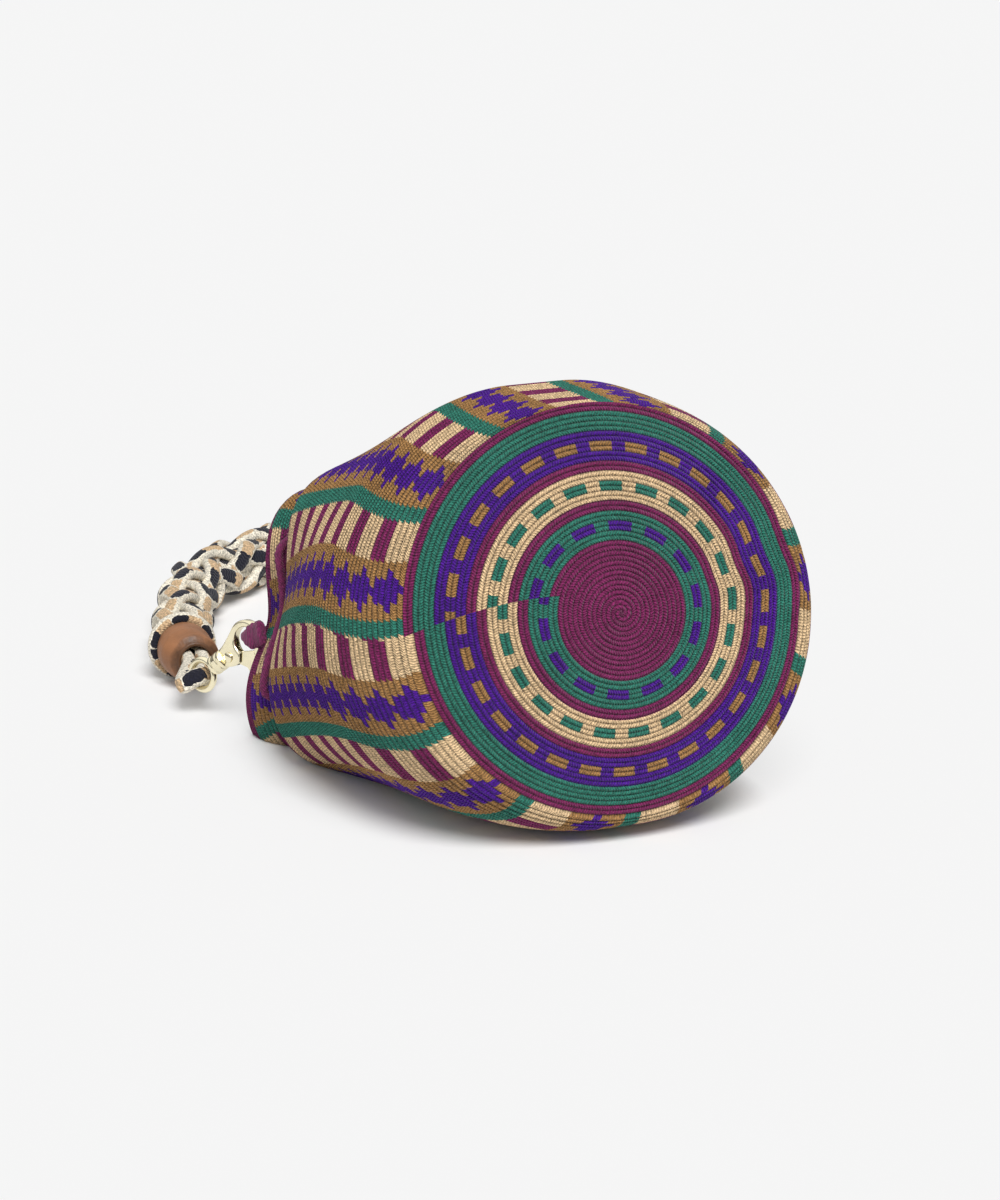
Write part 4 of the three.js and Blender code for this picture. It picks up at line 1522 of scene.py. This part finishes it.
def joined(first: bpy.types.Object, second: bpy.types.Object) -> bpy.types.Object:
    """Two pieces made one, under the first one's name."""
    with bpy.context.temp_override(active_object=first, selected_editable_objects=[first, second]):
        bpy.ops.object.join()
    return first


@dataclass(frozen=True)
class TriggerSnap:
    """A cast swivel snap: hook, gate, rivet, spring and eye, in its own place."""

    side: Side
    place: Place
    ring: EyeRing = EyeRing()
    plate: float = 4.8
    edge: float = 1.2
    hook_centre: float = -17.0
    hook_radius: float = 9.9
    aperture: float = 6.6
    # The hook's outer and inner arcs and where its neck meets it, in degrees
    outer_arc: tuple = (66.0, 258.0)
    inner_arc: tuple = (250.0, -30.0)
    neck_angle: float = 62.0
    pivot: tuple = (-3.8, -1.6)
    pivot_disc: float = 3.5
    cheek: float = 1.9
    gate_thickness: float = 1.8
    gate_edge: float = 0.25
    gate_reach: float = 15.7
    # The gate's round back and its end, in degrees about the pivot
    gate_back: tuple = (250.0, 525.0)
    gate_end: tuple = (196.0, 219.0)
    trigger: float = 4.2
    rivet_head: float = 2.5
    rivet_rise: float = 0.8
    spring_radius: float = 0.55
    spring_wire: float = 0.2
    spring_turns: int = 3
    spring_keep: float = 0.25
    # The coil's ends, on the gate's back and on the slot's roof
    spring_low: float = -0.45
    spring_high: float = 1.98
    barrel_radius: float = 4.7
    barrel_length: float = 9.0
    barrel_round: float = 0.9
    # Turned grooves of the barrel: where they lie, and their depth and half-width
    grooves: tuple = (2.6, 6.4)
    groove: float = 0.35
    post_radius: float = 2.0
    # The post's head inside the barrel: its radius, and where it starts and ends
    head_radius: float = 3.0
    head: tuple = (2.0, 4.1)
    smooth_angle: float = 40.0

    def _set(self, name: str, mesh: bpy.types.Mesh) -> bpy.types.Object:
        """A mesh in local millimetres, set in its place as a smooth piece with sharp edges."""
        columns = np.column_stack([self.place.axis, self.place.across, self.place.upward]) * MM
        matrix = Matrix(columns.tolist()).to_4x4()
        matrix.translation = Vector(self.place.origin * MM)
        mesh.transform(matrix)
        mesh.shade_smooth()
        mesh.set_sharp_from_angle(angle=np.radians(self.smooth_angle))
        return linked(name, mesh)

    def body(self) -> bpy.types.Object:
        """The hook's plate with a slot for the gate, and the barrel that holds the swivel's post."""
        x, z = self.pivot
        inset = 0.5
        low = z - self.pivot_disc - self.cheek
        shoulder, root = (1, self.barrel_radius - inset), (1, inset - self.barrel_radius)
        neck = arc(self.hook_centre, 0, self.hook_radius, self.neck_angle, self.neck_angle, 1)[0]
        outline = np.vstack([
            bow(shoulder, (x, self.barrel_radius), neck),
            arc(self.hook_centre, 0, self.hook_radius, *self.outer_arc, 60),
            arc(self.hook_centre, 0, self.aperture, *self.inner_arc, 60),
            bow((x - 1.4 * self.pivot_disc, low + 0.4), (x, low - 0.3), root),
        ])
        room = self.pivot_disc + 1.3 * GAP
        left = self.hook_centre + 0.6 * self.aperture
        slot = np.vstack([
            [(left, z + room + 1), (left, z - 3 * room)],
            arc(x, z, room, -90, 90, 16),
        ])
        holder = linked("hook", flat_plate(outline, self.plate, self.edge))
        cutter = linked("slot", flat_plate(slot, self.gate_thickness + 2 * GAP, 0.01))
        cut = holder.modifiers.new("slot", "BOOLEAN")
        cut.object = cutter
        cut.solver = "EXACT"
        hook = baked(holder)
        bpy.data.objects.remove(cutter)
        barrel = mesh_of(f"{self.side}_barrel", [turned(self._barrel(), 40, self.place)])
        return joined(self._set(f"{self.side}_hook", hook), barrel)

    def _barrel(self) -> np.ndarray:
        """The barrel's profile: a drum with two turned grooves and rounded ends."""
        along = np.linspace(0, self.barrel_length, 49)
        near = np.clip(np.minimum(along, self.barrel_length - along), 0, self.barrel_round)
        corner = np.sqrt(np.clip(self.barrel_round**2 - (self.barrel_round - near) ** 2, 0, None))
        grooves = sum(np.exp(-(((along - middle) / self.groove) ** 2)) for middle in self.grooves)
        radius = self.barrel_radius - self.barrel_round + corner - self.groove * grooves
        return np.column_stack([along, radius])

    def gate(self) -> bpy.types.Object:
        """The hinged gate with its thumb trigger."""
        end = self.gate_end[1]
        tip = arc(*self.pivot, self.gate_reach, end, end, 1)[0]
        outline = np.vstack([
            arc(*self.pivot, self.pivot_disc, *self.gate_back, 30),
            arc(*self.pivot, self.gate_reach, *self.gate_end, 8),
            tip + [(2.3, 0.2), (1.9, -0.85 * self.trigger), (4.5, -self.trigger), (5.5, 1)],
        ])
        return self._set(f"{self.side}_gate", flat_plate(outline, self.gate_thickness, self.gate_edge))

    def rivet(self) -> bpy.types.Object:
        """The gate's pin with a domed head on each cheek."""
        half = self.plate / 2 + GAP
        bend = np.radians(np.linspace(0, 90, 8))
        dome = half + self.rivet_rise * np.sin(bend), self.rivet_head * np.cos(bend) + 0.02
        shank = [(half, self.rivet_head * 0.5), *zip(*dome)]
        profile = [(-y, radius) for y, radius in shank[::-1]] + shank
        place, (x, z) = self.place, self.pivot
        across = Place(place.at(x, 0, z), place.across, place.upward, place.axis)
        return mesh_of(f"{self.side}_rivet", [turned(profile, 32, across)])

    @property
    def spring_x(self) -> float:
        """Where the coil stands along the snap's axis."""
        return self.pivot[0] - self.pivot_disc - 1

    def spring(self) -> bpy.types.Object:
        """The coil that shuts the gate: a helix between the gate's back and the slot's roof."""
        t = np.linspace(0, 1, 120)
        angles = t * self.spring_turns * TAU
        local = np.column_stack([
            self.spring_x + self.spring_radius * np.cos(angles),
            self.spring_radius * np.sin(angles),
            self.spring_low + (self.spring_high - self.spring_low) * t,
        ])
        coil = tube(self.place.put(local), self.place.axis, RoundSection(self.spring_wire, 8))
        return mesh_of(f"{self.side}_coil", [coil])

    def eye(self) -> bpy.types.Object:
        """The swivel's eye: a ring on a headed post that turns in the barrel."""
        ring, place = self.ring, self.place
        across = Place(place.at(ring.centre), place.across, place.axis, place.upward)
        loop = wire_ring(across, ring.radius + ring.wire, ring.wire, 72, 18, inward=True)
        inner, outer = self.head
        shoulder, end = self.barrel_length + GAP, ring.centre - ring.radius
        post = turned([
            (inner, 0.5), (inner, self.head_radius), (outer, self.head_radius),
            (outer, self.post_radius), (shoulder, self.post_radius),
            (shoulder + 0.1, 2.9), (shoulder + 0.9, 3.0), (shoulder + 1.6, 2.4),
            (end - 0.8, 1.6), (end - 0.7, 0.5),
        ], 28, place)
        return mesh_of(f"{self.side}_eye", [loop, post])


# Strap


@dataclass(frozen=True)
class StrapBraid:
    """A round braid of flat rope along the floor, from one collar to the other."""

    near: StrapEnd
    far: StrapEnd
    mouth_y: float
    radius: float = 15.5
    strands_each_way: int = 4
    lay: float = 160.0
    strand_width: float = 4.3
    strand_thickness: float = 2.9
    weave: float = 2.6
    core: float = 8.5
    tuck: float = 3.0
    points: int = 560
    # The strap's route on the floor between its two ends, x and y from the mouth's plane
    route: tuple = (
        (-46, 148), (-24, 186), (4, 210), (40, 227), (81, 250), (111, 275),
        (134, 307), (165, 335), (203, 352), (240, 353), (272, 334), (293, 298),
        (300, 257), (296, 216), (282, 177), (258, 143), (228, 116), (194, 96),
    )

    def path(self) -> np.ndarray:
        """The middle of the strap, lying on the floor between the collars."""
        start, settle = self.near.core_length + GAP, self.radius / 3
        near, far = self.near.sleeve, self.far.sleeve
        lying = [(x, self.mouth_y + y, self.radius + 2 * GAP) for x, y in self.route]
        return curve_through([
            near.at(start - self.tuck),
            near.at(start + settle),
            *lying,
            far.at(start + settle),
            far.at(start - self.tuck),
        ], self.points)

    def build(self) -> tuple[bpy.types.Object, np.ndarray]:
        """The braid's strands over a plain core.

        Half the strands wind one way round the middle and half the other way. Where two meet,
        one rises by the weave and the other sinks by it, turn and turn about.

        Returns:
            The piece and its middle line.
        """
        middle = self.path()
        side, rise = frames_along(middle, np.array([1.0, 0.0, 0.0]))
        winding = TAU * np.linspace(0, path_length(middle), len(middle)) / self.lay
        waves = np.cos(winding * self.strands_each_way)
        mean = self.radius - self.weave - self.strand_thickness
        section = OvalSection(self.strand_width, self.strand_thickness, 16)
        grids = [tube(middle, side, OvalSection(self.core, self.core, 16))]
        for way in (-1, 1):
            reach = (mean + way * self.weave * waves)[:, None]
            for strand in range(self.strands_each_way):
                angle = (way * winding + TAU * strand / self.strands_each_way)[:, None]
                outward = np.cos(angle) * side + np.sin(angle) * rise
                path = middle + outward * reach
                grids.append(tube(path, np.cross(outward, tangents_of(path)), section))
        return mesh_of("braided_strap", grids), middle


# Finishes


@dataclass(frozen=True)
class TapestryCrochet:
    """The shell's yarns: dashed rings on the base and striped repeats on the wall.

    Args:
        shell: the shell whose spiral the pattern follows.
        stitches: stitches in a round of the wall.
        legs: yarn legs that show in a stitch.
        repeat: stitches in a repeat of the wall's pattern.
        crowding: how much closer the columns lie on the left side than elsewhere, at the base and
            after the next number of rounds.
        crowding_rounds: that number of rounds.
        lean: how far a stitch leans within its round, in stitches.
        rings: the round at which each of the base's colours starts, and its yarn.
        dashes: dashed rounds of the base: the round, how many dashes, their start and their yarn.
        dash: a dash's share of its space.
        first_green: the stitch at which a repeat starts.
        green_end: the stitch at which its green stripe ends.
        ladder_end: the stitch at which its ladder ends.
        diamond_middle: the stitch at the middle of its diamonds.
        rung: the ladder's first rung, the rounds from rung to rung and the rounds in one.
        diamond: the first diamond's spike, the rounds in a diamond and the rounds to its neck.
        shoulder: half a diamond's width, one stitch more at its spike and one less at its neck.
        rim_rounds: plum rounds at the rim.
        brick: how far the legs of every other round are shifted, in legs.
        slant: how far a leg slants over a round's height, in legs.
        leg_height: a leg's height, where a ridge's is 1.
        leg_shade: how much painted light and shade the legs put on the colour.
        ridge_power: the power that rounds the ridges off.
        groove: the height up to which a ridge gets painted shade, and that shade at the bottom.
        relief: the depth of the stitches' relief.
    """

    shell: CrochetShell
    stitches: int = 154
    legs: int = 3
    repeat: int = 14
    crowding: tuple = (0.08, 0.155)
    crowding_rounds: float = 18.0
    lean: float = 0.5
    rings: tuple = (
        (0, Dye.PLUM), (7, Dye.GREEN), (10, Dye.PLUM), (11, Dye.CREAM),
        (14, Dye.PLUM), (15, Dye.PURPLE), (18, Dye.GREEN), (20, Dye.PLUM),
    )
    dashes: tuple = ((8, 14, 0.1, Dye.PURPLE), (12, 21, 0.3, Dye.GREEN), (16, 28, 0.5, Dye.TAN))
    dash: float = 0.62
    first_green: float = 75.0
    green_end: float = 2.0
    ladder_end: float = 7.0
    diamond_middle: float = 10.0
    rung: tuple = (4.0, 7.0, 3.0)
    diamond: tuple = (2.0, 5.0, 3.0)
    shoulder: float = 1.5
    rim_rounds: float = 2.0
    brick: float = 0.4
    slant: float = 1.6
    leg_height: float = 0.35
    leg_shade: float = 0.18
    ridge_power: float = 0.6
    groove: tuple = (0.7, 0.45)
    relief: float = 0.8

    def material(self, shop: Workshop) -> bpy.types.Material:
        """Yarn in whole stitches, with painted shade in the grooves between them."""
        graph = FinishGraph("tapestry_crochet", Sheen_Weight=0.1, Specular_IOR_Level=0.08)
        turn, rounds = graph.surface()
        spiral = self._spiral(graph, turn, rounds)
        column = self._column(graph, turn, spiral)
        on_wall = spiral > float(self.shell.form.base_rounds)
        base, wall = self._base(graph, turn, spiral), self._wall(graph, spiral, column)
        height, groove = self._stitches(graph, turn, spiral, column, on_wall)
        # The colour takes the painted shade of the grooves and the legs.
        shop.yarn(graph, graph.scaled(graph.mix(on_wall, base, wall), groove), height, self.relief)
        return graph.material

    def _spiral(self, graph: Graph, turn: Wire, rounds: Wire) -> Wire:
        """The shell's count of rounds along the spiral, worked out again for the shader."""
        shell, base = self.shell, self.shell.form.base_rounds
        share = graph.ranged(rounds, shell.jog_inside * base, base, shell.jog_inside, 1.0)
        swing = graph.math("LOGARITHM", share, float(np.e)) * (shell.jog_swing / 360)
        climb = (turn - shell.jog / 360 - swing).fract() - 0.5
        away = (turn + (0.5 - shell.pucker_turn / 360)).fract() - 0.5
        away = away * (360 / shell.pucker_width)
        bell = graph.math("EXPONENT", away * away * -1.0)
        amount = graph.ranged(
            rounds, *shell.pucker_rounds, 0.0, shell.pucker, interpolation_type="SMOOTHSTEP"
        )
        return rounds - climb + away * bell * amount

    def _column(self, graph: Graph, turn: Wire, spiral: Wire) -> Wire:
        """The place along the round in stitches, which lean and crowd together on the left side."""
        start = float(self.shell.form.base_rounds)
        crowding = graph.ranged(spiral, start, start + self.crowding_rounds, *self.crowding)
        gathered = turn - turn.wave() * crowding / TAU
        return gathered * float(self.stitches) + spiral.fract() * self.lean

    def _base(self, graph: Graph, turn: Wire, spiral: Wire) -> Wire:
        """Rings of plain colour, three of them with a dashed round in the middle."""
        count = float(self.shell.form.base_rounds)
        colour = graph.bands(spiral / count, [(start / count, dye) for start, dye in self.rings])
        number = spiral.floor()
        for ring, dashes, start, dye in self.dashes:
            dash = (turn * float(dashes) + start).fract() < self.dash
            colour = graph.mix(number.is_number(float(ring)) * dash, colour, dye)
        return colour

    def _wall(self, graph: Graph, spiral: Wire, column: Wire) -> Wire:
        """Lengthwise repeats of a green stripe, a ladder and a chain of diamonds, in whole stitches.

        Args:
            graph: the finish's graph.
            spiral: the count of rounds along the spiral.
            column: the place along the round in stitches.

        Returns:
            The colour.
        """
        number = (spiral - float(self.shell.form.base_rounds)).floor()
        stitch = (column.floor() - self.first_green) % float(self.repeat)
        first, spacing, width = self.rung
        ladder = graph.mix((number - first) % spacing < width - 0.5, Dye.CREAM, Dye.PLUM)
        first, spacing, neck = self.diamond
        beat = (number - first) % spacing
        reach = beat.is_number(0.0) + self.shoulder - beat.is_number(neck)
        chain = graph.mix(abs(stitch - self.diamond_middle) < reach, Dye.TAN, Dye.PURPLE)
        colour = graph.mix(stitch < self.ladder_end - 0.5, chain, ladder)
        colour = graph.mix(stitch < self.green_end - 0.5, colour, Dye.GREEN)
        rim = number > self.shell.wall_rounds - self.rim_rounds - 0.5
        return graph.mix(rim, colour, Dye.PLUM)

    def _stitches(
        self, graph: Graph, turn: Wire, spiral: Wire, column: Wire, on_wall: Wire
    ) -> tuple[Wire, Wire]:
        """The relief of the stitches: slanted yarn legs over each ridge, mirrored in pairs.

        Args:
            graph: the finish's graph.
            turn: the share of a turn.
            spiral: the count of rounds along the spiral.
            column: the place along the round in stitches.
            on_wall: 1 on the wall, else 0.

        Returns:
            The height, and the painted shade: darker in the grooves, lighter and darker on the legs.
        """
        legs_a_round = self.stitches / self.shell.form.base_rounds * self.legs
        on_base = graph.math("SUBTRACT", 1.0, on_wall)
        number = spiral.floor()
        base_legs = turn * legs_a_round * (number + 0.5)
        wall_legs = column * float(self.legs) + number % 2.0 * self.brick
        legs = base_legs * on_base + wall_legs * on_wall
        leg = (abs(spiral.fract() - 0.5) * self.slant + legs).wave()
        ridge = abs((spiral * (on_base + 1.0) * 0.5).wave())
        # Painted shade: the colour darkens towards the bottom of each groove, and the legs lighten and
        # darken it.
        reach, shade = self.groove
        groove = graph.ranged(ridge, 0.0, reach, shade, 1.0) + leg * self.leg_shade
        return leg * self.leg_height + ridge**self.ridge_power, groove


@dataclass(frozen=True)
class PlumCord:
    """Twisted plum cotton, with a pale thread where the surface is marked for it.

    Args:
        strands: fine strands around it.
        strand_pitch: from one strand to the next along it.
        fleck: the length of a fleck of the pale thread and its gap.
        fleck_share: how much of that is fleck.
        relief: the depth of the strands.
    """

    strands: float = 9.0
    strand_pitch: float = 1.4
    fleck: float = 4.2
    fleck_share: float = 0.6
    relief: float = 0.3

    def material(self, shop: Workshop) -> bpy.types.Material:
        """A dark plum yarn with fine slanted strands and painted shade between them."""
        graph = FinishGraph("plum_cord", Sheen_Weight=0.1)
        along, around = graph.surface()
        strands = (around * self.strands + along / self.strand_pitch).wave()
        marked = around > PALE_MARK - 0.5
        shown = (along / self.fleck).fract() < self.fleck_share
        colour = graph.mix(marked * shown, Dye.PLUM, Dye.CREAM)
        # Painted shade: darker between the strands, a little lighter on them.
        colour = graph.scaled(colour, graph.ranged(strands, -1.0, 1.0, 0.7, 1.05))
        shop.yarn(graph, colour, strands * 0.5, self.relief)
        return graph.material


@dataclass(frozen=True)
class PatchedRope:
    """Knitted cream rope with navy and sand patches along its two faces.

    Args:
        name: the finish's name.
        repeat: the length in which the patches come again.
        patches: each patch's dye, its middle and its half length as shares of the repeat.
        band: half a patch's width, as a share of a turn.
        ragged: how uneven the patches' edges are, as a share of the repeat.
        knit: the length of a row of knitting.
        slants: knitted slants around the rope.
        relief: the depth of the knitting.
    """

    name: str
    repeat: float
    patches: tuple = ((Dye.SAND, 0.72, 0.3), (Dye.NAVY, 0.28, 0.24))
    band: float = 0.13
    ragged: float = 0.06
    knit: float = 1.5
    slants: float = 10.0
    relief: float = 0.3

    def material(self, shop: Workshop) -> bpy.types.Material:
        """Cream with patches as ragged, squarish ovals, and a fine knit with painted shade in its
        hollows.
        """
        graph = FinishGraph(self.name, Sheen_Weight=0.08)
        along, around = graph.surface()
        cloud = graph.noise(graph.place(), 420.0, 1.0)
        ragged = graph.ranged(cloud, 0.2, 0.8, -self.ragged, self.ragged)
        beat = (along / self.repeat).fract() + ragged
        face = (around + 0.25).zigzag(0.25) + ragged * 0.6
        sideways = (face / self.band) ** 3.0
        colour = Dye.ROPE
        for dye, middle, reach in self.patches:
            onward = abs((beat - middle) / reach) ** 3.0
            colour = graph.mix(onward + sideways < 1.0, colour, dye)
        knit = (along / self.knit + (around * self.slants).zigzag(0.5)).wave()
        # Painted shade: darker in the hollows of the knit.
        colour = graph.scaled(colour, graph.ranged(knit, -1.0, 1.0, 0.86, 1.02))
        shop.yarn(graph, colour, knit * 0.6, self.relief)
        return graph.material


@dataclass(frozen=True)
class TanLeather:
    """Smooth tan leather with a fine grain, darker where it is cut and drawn together.

    Args:
        edge: how far in from the cut the leather darkens.
        low: its roughness where it is rubbed.
        high: its roughness elsewhere.
        grain: the depth of its grain.
    """

    edge: float = 1.6
    low: float = 0.42
    high: float = 0.62
    grain: float = 0.2

    def material(self, shop: Workshop) -> bpy.types.Material:
        """Leather whose grain is small cells over slow changes of colour."""
        graph = FinishGraph("tan_leather", Specular_IOR_Level=0.4, Coat_Weight=0.05)
        along, _ = graph.surface()
        place = graph.place()
        cells = graph.value("ShaderNodeTexVoronoi", {"Vector": place, "Scale": 1100.0}, "Distance")
        cloud = graph.noise(place, 120.0, 4.0)
        cracked = (cloud - 0.5) * (3 * self.edge) + along
        darkened = graph.ranged(cracked, 0.0, self.edge, 0.35, 1.0)
        tone = graph.ranged(cloud, 0.3, 0.7, 0.78, 1.12) * darkened
        graph.dress(
            Base_Color=graph.scaled(Dye.LEATHER, tone),
            Roughness=shop.wear(graph, self.low, self.high),
            Normal=graph.bump(cells, self.grain, 0.6),
        )
        return graph.material


@dataclass(frozen=True)
class Metal:
    """A plated or bare metal, by its colour and its lowest and highest roughness."""

    name: str
    dye: Dye
    low: float
    high: float

    def material(self, shop: Workshop) -> bpy.types.Material:
        """Metal with fine rubbed marks and a slow change of tone."""
        graph = FinishGraph(self.name, Metallic=1.0)
        tone = graph.ranged(graph.noise(graph.place(), 140.0), 0.3, 0.7, 0.93, 1.03)
        graph.dress(
            Base_Color=graph.scaled(self.dye, tone), Roughness=shop.wear(graph, self.low, self.high)
        )
        return graph.material


# Studio


@dataclass(frozen=True)
class Studio:
    """A plain pale floor, soft light and the photograph's camera."""

    azimuth: float = -30.33
    elevation: float = 16.97
    distance: float = 1556.46
    target: tuple = (0.0, -55.0, 90.0)
    lens: float = 108.8
    sensor: float = 36.0
    shift: tuple = (-0.0489, 0.0041)
    floor_half: float = 8000.0
    sun_strength: float = 3.25
    sun_rise: float = 54.0
    sun_azimuth: float = -17.0
    sun_breadth: float = 30.0
    sky_strength: float = 0.2
    # What metal reflects of the sky: its strength near the floor and overhead, and the change
    # between them by the sine of the height
    reflected: tuple = (0.08, 1.1)
    reflected_rise: tuple = (0.05, 0.55)
    # How much of the floor is plain paper, and how far from the bag it darkens
    paper_glow: float = 0.78
    contact_reach: float = 24.0

    def camera(self) -> None:
        """A camera that looks at the bag from the photograph's side."""
        turn, rise = np.radians([self.azimuth, self.elevation])
        way = np.array([np.sin(turn) * np.cos(rise), -np.cos(turn) * np.cos(rise), np.sin(rise)])
        data = bpy.data.cameras.new("photo_camera")
        data.lens = self.lens
        data.sensor_width = self.sensor
        data.shift_x, data.shift_y = self.shift
        data.clip_end = 50.0
        camera = linked("photo_camera", data)
        camera.location = Vector((np.array(self.target) + way * self.distance) * MM)
        camera.rotation_euler = Vector(-way).to_track_quat("-Z", "Y").to_euler()
        bpy.context.scene.camera = camera

    def floor(self) -> None:
        """A wide pale floor that keeps the bag's shadow.

        Rays that show the floor see plain paper, less of it close under the bag, over the lit floor.
        """
        half = self.floor_half * MM
        mesh = bpy.data.meshes.new("floor")
        corners = [(-half, -half, 0), (half, -half, 0), (half, half, 0), (-half, half, 0)]
        mesh.from_pydata(corners, [], [(0, 1, 2, 3)])
        piece = linked("floor", mesh)
        graph = FinishGraph("pale_paper", Base_Color=Dye.PAPER, Roughness=1.0, Specular_IOR_Level=0.0)
        glow = graph.value("ShaderNodeEmission", {"Color": Dye.PAPER, "Strength": 1.0})
        reach = {"Distance": self.contact_reach * MM}
        openness = graph.value("ShaderNodeAmbientOcclusion", reach, "AO", samples=2)
        share = graph.rays("Camera", "Glossy", "Transmission") * openness**2.0 * self.paper_glow
        lit = Wire(graph, graph.shader.outputs[0])
        blend = graph.value("ShaderNodeMixShader", {0: share, 1: lit, 2: glow})
        graph.feed(graph.tree.nodes["Material Output"].inputs["Surface"], blend)
        mesh.materials.append(graph.material)

    def light(self) -> None:
        """An even sky and one broad soft sun from above and in front."""
        scene = bpy.context.scene
        scene.world = bpy.data.worlds.new("soft_room")
        scene.world.use_nodes = True
        graph = Graph(scene.world.node_tree)
        sky = graph.tree.nodes["Background"]
        outlook = graph.value("ShaderNodeTexCoord", output="Generated")
        height = graph.value("ShaderNodeSeparateXYZ", {0: outlook}, 2)
        overhead = graph.ranged(height, *self.reflected_rise, *self.reflected)
        strength = graph.between(graph.rays("Glossy"), self.sky_strength, overhead)
        graph.feed(sky.inputs["Color"], Dye.PAPER)
        seen = graph.rays("Camera", "Transmission")
        graph.feed(sky.inputs["Strength"], graph.between(seen, strength, 1.0))
        data = bpy.data.lights.new("soft_sun", "SUN")
        data.energy = self.sun_strength
        data.angle = np.radians(self.sun_breadth)
        rise = np.radians(self.sun_rise)
        way = level(-self.sun_azimuth) * np.cos(rise) - UP * np.sin(rise)
        linked("soft_sun", data).rotation_euler = Vector(way).to_track_quat("-Z", "Y").to_euler()

    def build(self) -> None:
        """Sets the stage."""
        self.camera()
        self.floor()
        self.light()
        bpy.context.scene.view_settings.view_transform = "Standard"


# The whole bag


class CrochetBag:
    """The bag with its strap, snaps and drawstring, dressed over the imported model."""

    ENDS = {
        Side.NEAR: EndSetting(turn=178.0, lift=28.0, lead=15.0, heading=14.0),
        Side.FAR: EndSetting(turn=0.0, lift=24.0, lead=37.0, heading=37.0),
    }

    def __init__(self, frame: dict) -> None:
        """Keeps the model's joints and makes the finishes.
        """
        self.joints = {joint["name"]: joint for joint in frame["joints"]}
        self.form = BagForm()
        self.shop = Workshop(fibre_group(), wear_group())
        self.cord = PlumCord().material(self.shop)
        self.rope = PatchedRope("loop_rope", 16.0).material(self.shop)
        self.strap = PatchedRope("strap_rope", 20.0).material(self.shop)
        self.leather = TanLeather().material(self.shop)
        self.gold = Metal("pale_gold", Dye.GOLD, 0.12, 0.26).material(self.shop)
        self.steel = Metal("spring_steel", Dye.STEEL, 0.25, 0.4).material(self.shop)
        self.fittings: list[bpy.types.Object] = []

    def place_of(self, side: Side) -> Place:
        """A snap's place: its swivel's axis, and its gate's hinge across it."""
        swivel, hinge = self.joints[f"{side}_swivel"], self.joints[f"{side}_gate_hinge"]
        axis = unit(np.array(swivel["axis"], float))
        across = square_to(np.array(hinge["axis"], float), axis)
        return Place(np.array(swivel["pos_m"], float) / MM, axis, across, np.cross(axis, across))

    def settle(
        self, piece: bpy.types.Object, body: str, node: str, slot: str, finish: bpy.types.Material
    ) -> bpy.types.Object:
        """Gives a finished piece its body and its finish, and hides the model's node that it stands
        for.

        Args:
            piece: the piece.
            body: the body that it moves with.
            node: the model's node that it stands for.
            slot: the record's material slot, not used.
            finish: its material.

        Returns:
            The piece.
        """
        piece.data.materials.clear()
        piece.data.materials.append(finish)
        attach(piece, body)
        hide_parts(node)
        log.info("%s stands for %s", piece.name, node)
        return piece

    def build_end(self, side: Side) -> StrapEnd:
        """Makes one strap end with its snap.

        Args:
            side: which of the strap's ends.

        Returns:
            The end, for the strap to start from.
        """
        end = StrapEnd(side, self.form, self.place_of(side), self.ENDS[side])
        snap = TriggerSnap(side, end.place)
        body, gate = f"{side}_snap", f"{side}_gate"
        parts = (
            (end.loop_tab, "bag", "loop_tab", "plum_cord", self.cord),
            (snap.body, body, "snap_body", "pale_gold", self.gold),
            (snap.gate, gate, "snap_gate", "pale_gold", self.gold),
            (snap.rivet, body, "snap_rivet", "pale_gold", self.gold),
            (snap.spring, body, "snap_spring", "spring_steel", self.steel),
            (snap.eye, "bag", "swivel_eye", "pale_gold", self.gold),
            (end.rope_loop, "bag", "end_loop", "braid_rope", self.rope),
            (end.leather_wrap, "bag", "leather_wrap", "tan_leather", self.leather),
            (end.rope_collar, "bag", "rope_collar", "braid_rope", self.rope),
        )
        made = {
            node: self.settle(make(), rides, f"{side}_{node}", slot, finish)
            for make, rides, node, slot, finish in parts
        }
        upward, roof = tuple(snap.place.upward), snap.place.at(snap.spring_x, 0, snap.spring_high) * MM
        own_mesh(made["snap_spring"])
        self.fittings += [made[node] for node in ("end_loop", "leather_wrap", "rope_collar")]
        return end

    def build(self) -> None:
        """Makes every piece: the strap and its ends first, then the bag and its drawstring."""
        near, far = self.build_end(Side.NEAR), self.build_end(Side.FAR)
        braid = StrapBraid(near, far, self.form.mouth_y)
        strap, middle = braid.build()
        self.settle(strap, "bag", "strap_braid", "braid_rope", self.strap)
        2 * braid.radius * MM
        shell = CrochetShell(self.form)
        crochet = TapestryCrochet(shell).material(self.shop)
        self.settle(shell.build(), "bag", "bag_body", "crochet_cotton", crochet)
        self.settle(Drawstring(self.form).build(), "bag", "drawstring", "plum_cord", self.cord)


def main() -> None:
    """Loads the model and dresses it."""
    logging.basicConfig(level=logging.INFO, format="%(message)s")
    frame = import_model()
    Studio().build()
    CrochetBag(frame).build()


if __name__ == "__main__":
    main()
